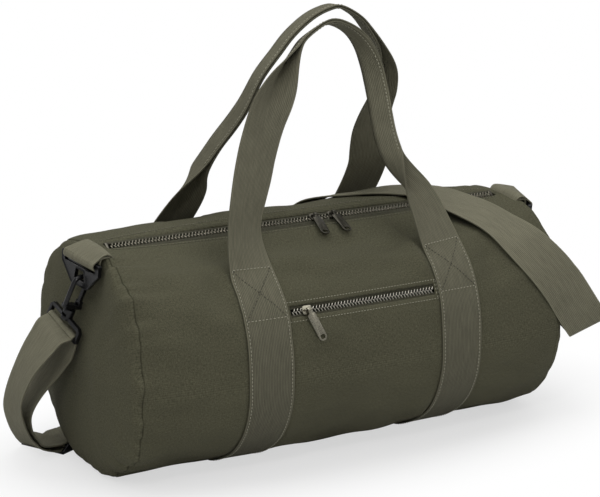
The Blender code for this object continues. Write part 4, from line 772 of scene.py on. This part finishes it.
def web_line(side, rows, start, end):
    """A line drawn on a handle's webbing, from a length along it and a width across it to others,
    and the outward normals there. Between the grid's points it is straight."""
    normals = side * unit(np.cross(np.gradient(rows, axis=0), np.gradient(rows, axis=1)))
    place, width = (a + (b - a) * np.linspace(0, 1, 120) for a, b in zip(start, end))
    row = np.interp(place, along(rows[:, len(ACROSS) // 2]), np.arange(len(rows)))
    column = np.interp(width, ACROSS, np.arange(len(ACROSS)))
    r, c = np.minimum(row.astype(int), len(rows) - 2), np.minimum(column.astype(int), len(ACROSS) - 2)
    past_r, past_c = (row - r)[:, None], (column - c)[:, None]

    def between(grid):
        low = grid[r, c] * (1 - past_c) + grid[r, c + 1] * past_c
        high = grid[r + 1, c] * (1 - past_c) + grid[r + 1, c + 1] * past_c
        return low * (1 - past_r) + high * past_r

    normal = unit(between(normals))
    points = between(rows) + normal * (WEB_THICK / 2 + 0.0002)
    points[:, 2] = np.maximum(points[:, 2], 0.0008)
    return points, normal


def make_box_stitches(name, side, rows):
    """The stitched box with a cross that fastens each handle end, and the two rows of stitches that
    run on from it under the bag."""
    middle = rows[:, len(ACROSS) // 2]
    run = along(middle)
    runs, crosses = [], []
    for foot, down, under in ((-STRAP_X, -1, 0.015), (STRAP_X, 1, run[-1] - 0.015)):
        top = run[np.argmin(np.linalg.norm(middle - (foot, *SEAMS[side]), axis=-1))] + down * 0.001
        low = top + down * BOX_LENGTH
        corners = ((low, -BOX_HALF), (low, BOX_HALF), (top, BOX_HALF), (top, -BOX_HALF))
        lines = [(corners[k], corners[(k + 1) % 4]) for k in range(4)]
        lines += [((low, s), (under, s)) for s in (-BOX_HALF, BOX_HALF)]
        runs += [web_line(side, rows, *line) for line in lines]
        crosses += [web_line(side, rows, corners[k], corners[k + 2]) for k in (0, 1)]
    stitches(name + "_box_stitches", runs, THREAD, "bag")
    # The cross is drawn in the thread with painted shade.
    stitches(name + "_cross_stitches", crosses, THREAD_SHADED, "bag")


def make_grip_stitches(side, word, first, last):
    """Two rows of stitches that close a grip's fold, 3 mm from its selvedges."""
    drawn = slice(first * 3, last * 3 + 1)
    runs = [[part[drawn, 0] for part in handle_rows(side, np.array([s]), WEB_THICK / 2 + 0.0001)]
            for s in (-0.0217, 0.0217)]
    stitches(word + "_grip_stitches", runs, THREAD, word + "_handle", pitch=0.004, length=0.003)


# End tabs

TAB_LIFT = 0.0016
TAB_REACH = 0.02
# Width and height of the bars that webbing wraps: the ring's and the swivel base's
RING_BAR = (0.0045, 0.0044)
BASE_BAR = (0.004, 0.0042)


def wrap_radius(bar):
    """Radius of the middle of the webbing where it wraps a bar of this section."""
    return hypot(*bar) / 2 + 0.0004 + WEB_THICK / 2


def ring_axes(side):
    """The direction of a ring's bar and the upward direction square to it."""
    yaw, tilt = radians(12.0), radians(7.5)
    bar = unit((-side * sin(yaw), -cos(yaw), -sin(tilt)))
    return bar, unit(np.array((0, 0, 1)) - bar * bar[2])


def tab_line(side, out, widths):
    """A line across a tab's root on the end seam, this far out from the skin."""
    x = side * (HALF_LENGTH - TAB_LIFT)
    return skin(-1, x, turn_at(x, 0.02 + widths), out, False)


def fold_centre(side):
    """The middle of the ring's bar, which the tab folds round."""
    return tab_line(side, TAB_LIFT, np.array([0.0]))[0] + (side * TAB_REACH, 0, -0.0085)


def make_tab(word, side):
    """A loop of webbing out of the end seam, round the ring's bar and back under itself."""
    bar, up = ring_axes(side)
    centre = fold_centre(side)
    out = unit(np.cross(bar, up)) * -side
    radius = wrap_radius(RING_BAR)
    upper = tab_line(side, TAB_LIFT + WEB_THICK + 0.0003, ACROSS)
    lower = tab_line(side, TAB_LIFT, ACROSS)
    run = np.array((side * TAB_REACH, 0, 0))
    rows = [upper + (-side * 0.0035, 0, -0.0052), upper, upper + run / 3 + up * WEB_THICK / 2]
    middles = [(out * cos(turn) + up * sin(turn)) * radius
               for turn in np.radians((75, 45, 15, -15, -45, -75))]
    middles.append(-up * radius - out * 0.0033)
    rows += [centre + middle + bar * ACROSS[:, None] for middle in middles]
    rows += [lower + run / 2 - up * TAB_LIFT, lower + run / 4, lower]
    dress(strip("webbing_tab_" + word, through(np.array(rows), 4), STRAP_WEBBING), "tab_" + word)


# Shoulder strap: thousandths of the half length, half depth and end height, then hundredths for
# the way across

STRAP_UNITS = (0.001 * HALF_LENGTH, 0.001 * HALF_DEPTH, 0.001 * END_HEIGHT, 0.01, 0.01, 0.01)
INNER_STRAND = (
    (-1175, 500, 62, 20, -97, 0), (-1216, 450, 125, 5, -98, 10), (-1236, 390, 205, 0, -97, 20),
    (-1222, 320, 290, 0, -96, 16), (-1190, 240, 380, 2, -96, 5), (-1158, 150, 470, 5, -95, -12),
    (-1130, 60, 560, 8, -94, -26),
)
OUTER_STRAND = (
    (-1190, -10, 650, 8, -94, -30), (-1245, 45, 560, 4, -95, -14), (-1280, 120, 470, 0, -96, 2),
    (-1300, 200, 375, 0, -96, 12), (-1300, 285, 285, 0, -95, 20), (-1272, 365, 195, 0, -96, 18),
    (-1230, 440, 110, 5, -97, 10), (-1178, 505, 45, 20, -97, 2),
)
REAR_RUN = (
    (-960, 700, 4, 52, -85, 0), (-860, 815, 4, 46, -89, 0), (-680, 925, 4, 22, -97, 0),
    (-480, 985, 4, 8, -99, 0), (-280, 1010, 4, 0, -100, 0), (-90, 1025, 4.5, 0, -100, 0),
    (40, 1045, 30, 0, -100, 0), (120, 1060, 105, -8, -99, 0), (165, 1075, 230, -45, -88, 0),
    (185, 1075, 380, -85, -50, 0), (200, 1060, 520, -98, -15, 0), (215, 1020, 660, -100, 0, 0),
    (228, 918, 795, -98, -15, 0), (238, 755, 897, -88, -42, 10), (262, 545, 982, -70, -68, 15),
    (360, 395, 1010, -66, -72, 15), (480, 275, 1028, -68, -72, 6), (570, 145, 1033, -80, -58, 0),
    (627, 15, 1033, -90, -43, -4), (666, -110, 1022, -93, -36, -8), (696, -240, 1006, -94, -32, -12),
    (724, -377, 990, -92, -36, -17), (760, -500, 965, -89, -40, -20), (796, -609, 931, -88, -40, -25),
    (828, -703, 894, -87, -31, -38), (864, -790, 848, -83, -20, -52), (908, -848, 793, -80, -11, -60),
    (960, -892, 727, -79, -1, -61), (1020, -921, 643, -84, 11, -54),
)
RIGHT_END = (
    (1080, -950, 543, -89, 30, -34), (1120, -960, 482, -88, 30, -36), (1150, -945, 448, -86, 30, -41),
    (1176, -890, 440, -84, 32, -44), (1190, -780, 452, -80, 40, -46), (1192, -610, 490, -70, 52, -48),
    (1194, -440, 535, -58, 66, -47), (1202, -295, 570, -55, 72, -42), (1200, -200, 620, -53, 76, -37),
)
# The way each hook hangs, the way its base's bar runs, and drops from bar to eye to base to bar
HOOK_DOWN = {-1: (-0.265, 0.3, -0.917), 1: (0.38, -0.18, -0.907)}
BASE_ALONG = {-1: (0.09, -0.935, -0.34), 1: (0.5, -0.75, 0.43)}
EYE_DROP = 0.02565
EYE_TO_BASE = 0.03
BASE_TO_BAR = 0.0225


def hook_axes(side):
    """The hook's eye and its upward axis."""
    z_axis = -unit(HOOK_DOWN[side])
    return fold_centre(side) - ring_axes(side)[1] * EYE_DROP - z_axis * 0.0008, z_axis


def base_bar(side):
    """The bar of a swivel base: its middle, the ways out of its plate and up, and along the bar."""
    eye, axis = hook_axes(side)
    along_bar = np.array(BASE_ALONG[side])
    x = unit(along_bar - axis * along_bar.dot(axis))
    z = unit(np.cross(x, axis))
    y = np.cross(z, x)
    return eye - axis * EYE_TO_BASE - y * BASE_TO_BAR, z * (1 if z[0] * side > 0 else -1), y, x


def clear_of_skin(points, out):
    """Points that lie closer than out to the upper skin are moved out to it, by scaling."""
    x, y, z = points[..., 0], points[..., 1], points[..., 2]
    share = np.clip((y - 2 * FRONT_LIP_Y) / (REAR_LIP_Y - 2 * FRONT_LIP_Y), 0, 1)
    middle = FRONT_HEIGHT + (REAR_HEIGHT - FRONT_HEIGHT) * share
    height = toward_end(x, middle, END_HEIGHT) + out - GIRTH_LEVEL
    rise = np.maximum(z - GIRTH_LEVEL, 0.0)
    fill = (np.abs(y) / (half_depth_at(x) + out)) ** UPPER_POWER + (rise / height) ** UPPER_POWER
    grow = np.where(fill < 1, np.maximum(fill, 1e-6) ** (-1 / UPPER_POWER), 1.0)
    z = np.where((rise == 0) | (fill >= 1), z, GIRTH_LEVEL + rise * grow)
    return stack(x, y * grow, z)


def half_turn(middle, start, ahead, size, across):
    """Nine stations over half a circle, from the start direction by the one ahead."""
    turns = np.linspace(0, pi, 9)
    return [(*(middle + (start * cos(t) + ahead * sin(t)) * size), *across) for t in turns]


def scaled(table):
    """The stations of a table in metres, with one more between each two."""
    return [tuple(row) for row in through(np.array(table) * STRAP_UNITS, 2)]


def off_floor(rows):
    """The rows, with what would sink into the floor laid on it."""
    return np.maximum(rows, (-1.0, -1.0, WEB_THICK / 2 + 0.0002))


def spread(stations, lift):
    """Rows across the strap at stations, kept clear of the bag by the lift and above the floor."""
    data = np.array(stations)
    rows = data[:, None, :3] + unit(data[:, 3:])[:, None] * ACROSS[None, :, None]
    if lift:
        rows = clear_of_skin(rows, lift)
    return off_floor(rows)


def make_strap():
    """The shoulder strap: from its sewn end round the adjuster's bar, through the left hook's base,
    back over the adjuster, along the rear of the bag and over its right end to the right base."""
    run, up = unit((0.89, 0.46, 0.0)), np.array((0.0, 0.0, 1.0))
    place, width = np.array((-1.064 * HALF_LENGTH, 0.595 * HALF_DEPTH, 0.0)), unit(np.cross(run, up))
    bar_height, gap = 0.0022, 0.0003
    band = bar_height + gap + WEB_THICK / 2
    radius = bar_height / 2 + gap + WEB_THICK / 2
    centre = place + up * (band + WEB_THICK + gap + radius)
    tail = [(*(centre - up * radius - run * 0.0054), *width)]
    tail += half_turn(centre + run * 0.0018, -up, run, radius, width)
    tail.append((*(centre + up * radius - run * 0.01275), *width))
    bar, out, rise, across = base_bar(-1)
    reach = wrap_radius(BASE_BAR)
    tail += scaled(INNER_STRAND) + half_turn(bar, -out, rise, reach, across) + scaled(OUTER_STRAND)
    tail += [(*(place + run * way + up * band), *width) for way in (-0.0166, 0.0, 0.0159)]
    bar, out, rise, across = base_bar(1)
    last = scaled(RIGHT_END) + half_turn(bar, out, rise, reach, -across)
    last.append((*(bar - out * reach - rise * 0.018), *-across))
    lying = spread(scaled(REAR_RUN), WEB_THICK / 2 + 0.0012)
    rows = off_floor(through(np.concatenate([spread(tail, 0), lying, spread(last, 0)]), 3))
    dress(strip("webbing_shoulder_strap", rows, STRAP_WEBBING), "shoulder_strap")


# Zips

ALONG_X = np.array((1.0, 0.0, 0.0))
TOOTH_REACH = 0.0035
TOOTH_HEIGHT = 0.0012
SLIDER_HALF = 0.0057
TAPE_DEPTH = 0.003


def zip_axes(middle, low, high, sunk):
    """A zip's middle, sunk under the cloth there, the direction across it and the one out of it."""
    across = unit(high - low)
    out = np.cross(ALONG_X, across)
    return middle - out * sunk, across, out


def make_teeth(zip_name, word, axes, side, half, pitch, finish):
    """One row of moulded teeth: each a crowned block that leans in a chevron and reaches a little
    past the middle, between the teeth of the other row."""
    origin, across, out = axes
    profile = np.array(((-1.0, 0.0), (-1.0, 0.55), (-0.62, 0.92), (0.0, 1.0), (0.62, 0.92), (1.0, 0.55),
                        (1.0, 0.0), (0.6, -0.75), (-0.6, -0.75)))
    reach = np.array((-0.14, 0.02, 0.24, 0.78, 0.93, 1.0))[:, None] * TOOTH_REACH
    swell = np.array((0.5, 0.86, 1.0, 1.0, 0.86, 0.45))[:, None]
    cell = stack(profile[:, 0] * swell * pitch * 0.18 + reach * 0.45, reach * side,
                 profile[:, 1] * swell * TOOTH_HEIGHT).reshape(-1, 3)
    places = np.arange(-half + pitch / 2, half - pitch / 2, pitch) + (pitch / 2 if side > 0 else 0.0)
    base = cell[:, :1] * ALONG_X + cell[:, 1:2] * across + cell[:, 2:] * out
    points = origin + base + places[:, None, None] * ALONG_X
    quads = grid_faces(len(reach), len(profile), round_columns=True)
    dress(add_copies(zip_name + "_chain_" + word, points, quads, finish), zip_name + "_teeth_" + word)


def make_tape(zip_name, word, axes, side, skin_side, x, edges):
    """A zip tape: from the teeth, flat as far as the slider, and on under the folded lip of the
    panel, where it passes the edges, which are turns."""
    origin, across, out = axes
    rows = [origin + across * side * reach - out * 0.0003 + x[:, None] * ALONG_X
            for reach in (TOOTH_REACH * 0.85, SLIDER_HALF)]
    rows += [skin(skin_side, x, turns, -TAPE_DEPTH, False) for turns in edges]
    rows = np.array(rows).transpose(1, 0, 2)
    uv = stack(x[:, None], np.linspace(0, 0.012, rows.shape[1]))
    faces = facing(rows, grid_faces(*rows.shape[:2]), np.broadcast_to(out, rows.shape))
    made = add_mesh(zip_name + "_cloth_" + word, rows, faces, uv, TAPE)
    dress(thicken(made, 0.0009), zip_name + "_tape_" + word)


def make_main_zip():
    """Tapes, teeth and topstitch of the opening along the top."""
    front, rear = (skin(side, 0.0, lip_turn(side, 0.0), 0.0, False) for side in (-1, 1))
    axes = zip_axes((front + rear) / 2, front, rear, 0.0008)
    x = np.linspace(-1, 1, 90) * (SLOT_HALF - 0.0006)
    runs = []
    for word, side in (("front", -1), ("rear", 1)):
        edges = [lip_turn(side, x) - down for down in (0.0, 0.025, 0.052)]
        make_tape("zip", word, axes, side, side, x, edges)
        make_teeth("zip", word, axes, side, SLOT_HALF - 0.004, 0.0038, BRASS)
        along_slot = np.linspace(-1, 1, 120) * (SLOT_HALF - 0.002)
        turn = lip_turn(side, along_slot) - STITCH_INSET / LIP_ARC
        runs.append((skin(side, along_slot, turn, 0.0001), lean_out(side, along_slot, turn)))
    stitches("zip_topstitch", runs, THREAD_DARK, "bag")


def make_pocket():
    """Tapes, teeth and topstitch of the pocket's opening."""
    places = [skin(-1, 0.0, POCKET_TURN + way, 0.0, False) for way in (0.0, -0.035, 0.035)]
    axes = zip_axes(*places, 0.00285)
    x = np.linspace(-1, 1, 90) * (POCKET_HALF + 0.002)
    for word, side in (("lower", -1), ("upper", 1)):
        edges = [POCKET_TURN + side * reach / POCKET_ARC for reach in (0.0062, 0.01, 0.0139)]
        make_tape("pocket", word, axes, side, -1, x, edges)
        make_teeth("pocket", word, axes, side, POCKET_HALF - 0.0005, 0.0037, CHAMPAGNE)
    inset = STITCH_INSET / POCKET_ARC
    right = POCKET_HALF + 0.0035
    low, high = POCKET_LOW - inset, POCKET_HIGH + inset
    runs = [skin_line(-1, *line, 0.0002) for line in (
        (-right, low, right, low), (right, high, -right, high), (right, low, right, high),
        (-right, high, -right, low), (right - 0.0022, low, right - 0.0022, high),
    )]
    stitches("pocket_topstitch", runs, THREAD, "bag", pitch=0.0034, length=0.0022, radius=0.00034)


def make_pouch():
    """The pocket's lining: down behind the panel, round the bottom and up again 14 mm deeper, less
    deep towards its sides, and closed at the top."""
    top, drop, deep, behind = 0.0139, 0.1, 0.014, -0.0042
    shares = np.array((-1, -0.97, -0.93, -0.8, -0.6, -0.4, -0.2, 0, 0.2, 0.4, 0.6, 0.8, 0.93, 0.97, 1.0))
    x = shares * 0.084
    full = deep * (0.2 + 0.8 * np.sqrt(np.maximum(1 - np.abs(shares) ** 6, 0)))
    parts = np.linspace(0.16, 0.97, 14) * -drop
    steps = [(part, 0.0) for part in parts] + [(-drop, 0.5)] + [(part, 1.0) for part in parts[::-1]]
    steps += [(top / 2, 0.5), (top, 0.0)]
    rows = np.array([skin(-1, x, POCKET_TURN + up / POCKET_ARC, behind - full * depth, False)
                     for up, depth in steps])
    uv = stack(x, np.linspace(0, 0.22, len(rows))[:, None])
    made = add_mesh("pocket_lining", rows, grid_faces(*rows.shape[:2]), uv, OLIVE_LINING)
    dress(thicken(made, 0.0008), "pocket_pouch")


# Hard parts

def moulded(node, body, finish, width, rim=0.0, deep=0.0):
    """The node's own form with its flat faces joined and every edge rounded, as a moulding has. With
    a rim, its two widest faces are sunk inside a raised edge."""
    made = new_object("moulded_" + node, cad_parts[node].data.copy())
    made.data.materials.clear()
    made.data.materials.append(finish)
    work = bmesh.new()
    work.from_mesh(made.data)
    bmesh.ops.remove_doubles(work, verts=work.verts, dist=0.00002)
    bmesh.ops.dissolve_limit(work, angle_limit=radians(4), verts=work.verts, edges=work.edges)
    bmesh.ops.recalc_face_normals(work, faces=work.faces)
    if rim:
        way = max(work.faces, key=lambda face: face.calc_area()).normal.copy()
        level = {face: face.calc_center_median().dot(way) for face in work.faces}
        top, bottom = max(level.values()), min(level.values())
        flat = [face for face in work.faces if abs(face.normal.dot(way)) > 0.99
                and min(top - level[face], level[face] - bottom) < 0.0001]
        flat = bmesh.ops.triangulate(work, faces=flat)["faces"]
        bmesh.ops.inset_region(work, faces=flat, thickness=rim, depth=-deep, use_even_offset=True,
                               use_boundary=True)
    for face in work.faces:
        face.smooth = True
    work.to_mesh(made.data)
    work.free()
    round_off = made.modifiers.new("edges", "BEVEL")
    round_off.width = width
    round_off.segments = 3
    round_off.limit_method = "ANGLE"
    round_off.angle_limit = radians(28)
    round_off.harden_normals = True
    dress(made, node, body)


def make_hardware():
    """Sliders, pulls and stops of metal, and the plastic rings, hooks, gates, bases and adjuster."""
    sunk = (0.001, 0.0003)
    for node in ("slider_left", "slider_right"):
        moulded(node, node, BRONZE, 0.00025)
    for node in ("slider_left_pull", "slider_right_pull"):
        moulded(node, node, BRONZE, 0.00025, *sunk)
    for node in ("zip_stop_left", "zip_stop_right"):
        moulded(node, "bag", BRONZE, 0.0003)
    moulded("pocket_slider", "pocket_slider", NICKEL, 0.00025)
    moulded("pocket_pull", "pocket_pull", NICKEL, 0.00025, *sunk)
    for word in ("left", "right"):
        moulded("ring_" + word, "ring_" + word, PLASTIC, 0.0004, 0.0015, 0.0009)
        moulded("hook_" + word, "hook_" + word, PLASTIC, 0.0007)
        moulded("gate_" + word, "gate_" + word, PLASTIC, 0.0004)
        moulded("swivel_base_" + word, "bag", PLASTIC, 0.0008)
    moulded("strap_adjuster", "bag", PLASTIC, 0.0005)


# The stage

def make_stage():
    """A white floor that keeps soft shadows, four lamps, and a white surround."""
    made, n, shader = blank("studio_white")
    n.feed(shader, {"Base Color": (0.75, 0.75, 0.75, 1), "Roughness": 0.9, "Specular IOR Level": 0.1})
    glow = n.add("Emission", {"Color": (1, 1, 1, 1), "Strength": 1.0})
    spot = n.add("TexCoord").outputs["Object"]
    away = n.add("VectorMath", {0: n.stretch(spot, (1.0, 1.8, 1.0))}, operation="LENGTH").outputs["Value"]
    glowing = n.ramp(away, 0.24, 0.46, 0.62, 1.0, interpolation_type="SMOOTHSTEP")
    share = n.times(n.add("LightPath").outputs["Is Camera Ray"], glowing)
    mixed = n.add("MixShader", {0: share, 1: shader.outputs[0], 2: glow.outputs[0]})
    n.feed(made.node_tree.nodes["Material Output"], {"Surface": mixed.outputs[0]})
    corners = ((-6, -6, 0), (6, -6, 0), (6, 6, 0), (-6, 6, 0))
    add_mesh("studio_floor", corners, np.array([[0, 1, 2, 3]]), None, made)

    world = bpy.data.worlds.new("studio_surround")
    bpy.context.scene.world = world
    world.use_nodes = True
    w = Nodes(world.node_tree)
    rays = w.add("LightPath").outputs
    seen = w.math("MAXIMUM", rays["Is Camera Ray"], w.times(rays["Is Glossy Ray"], 0.15))
    strength = w.ramp(seen, 0.0, 1.0, 0.35, 1.0)
    w.feed(world.node_tree.nodes["Background"], {"Color": (1, 1, 1, 1), "Strength": strength})

    for name, place, target, size, power in (
        ("key_softbox", (0.5, -1.7, 1.9), (0.05, 0, 0.1), (1.6, 1.2), 12),
        ("top_softbox", (0.1, 0.2, 2.5), (0, 0, 0.1), (2.0, 1.6), 30),
        ("side_softbox", (-1.5, -0.5, 2.2), (-0.1, 0, 0.15), (1.0, 0.8), 9),
        ("sparkle_lamp", (-1.3, -1.5, 1.6), (-0.1, 0, 0.2), (0.2, 0.2), 7),
    ):
        data = bpy.data.lights.new(name, "AREA")
        data.shape = "RECTANGLE"
        data.size, data.size_y = size
        data.energy = power
        aim(new_object(name, data), place, target)


def aim(made, place, target):
    """The object at a place, looking at a target along its own -Z."""
    back = unit(np.array(place, float) - np.array(target, float))
    right = unit(np.cross((0.0, 0.0, 1.0), back))
    up = np.cross(back, right)
    rows = [[right[i], up[i], back[i], place[i]] for i in range(3)] + [[0, 0, 0, 1]]
    made.matrix_world = Matrix(rows)


def make_camera():
    """The photograph's camera: 123.5 mm on 36 mm film, low and to the left of the front."""
    data = bpy.data.cameras.new("studio_camera")
    data.sensor_fit = "HORIZONTAL"
    data.sensor_width = 36.0
    data.lens = 2058.4 / 600 * 36
    made = new_object("studio_camera", data)
    azimuth, elevation, distance = radians(29.6649), radians(14.8411), 2.215
    target = np.array((-0.005, 0.0, 0.2037))
    back = np.array((-sin(azimuth) * cos(elevation), -cos(azimuth) * cos(elevation),
                     sin(elevation)))
    aim(made, target + back * distance, target)
    bpy.context.scene.camera = made


make_camera()
make_stage()
make_body()
for word, side in (("left", -1), ("right", 1)):
    make_end(word, side)
    make_binding(word, side)
    make_tab(word, side)
front, front_rows = make_handle(-1, "front_handle")
rear, rear_rows = make_handle(1, "rear_handle")
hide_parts("web_loop_left", "web_loop_right")
make_box_stitches("front", -1, front_rows)
make_box_stitches("rear", 1, rear_rows)
make_grip_stitches(-1, "front", 8, 18)
make_grip_stitches(1, "rear", 3, 16)
make_strap()
make_main_zip()
make_pocket()
make_pouch()
make_hardware()

bpy.context.scene.view_settings.view_transform = "Standard"
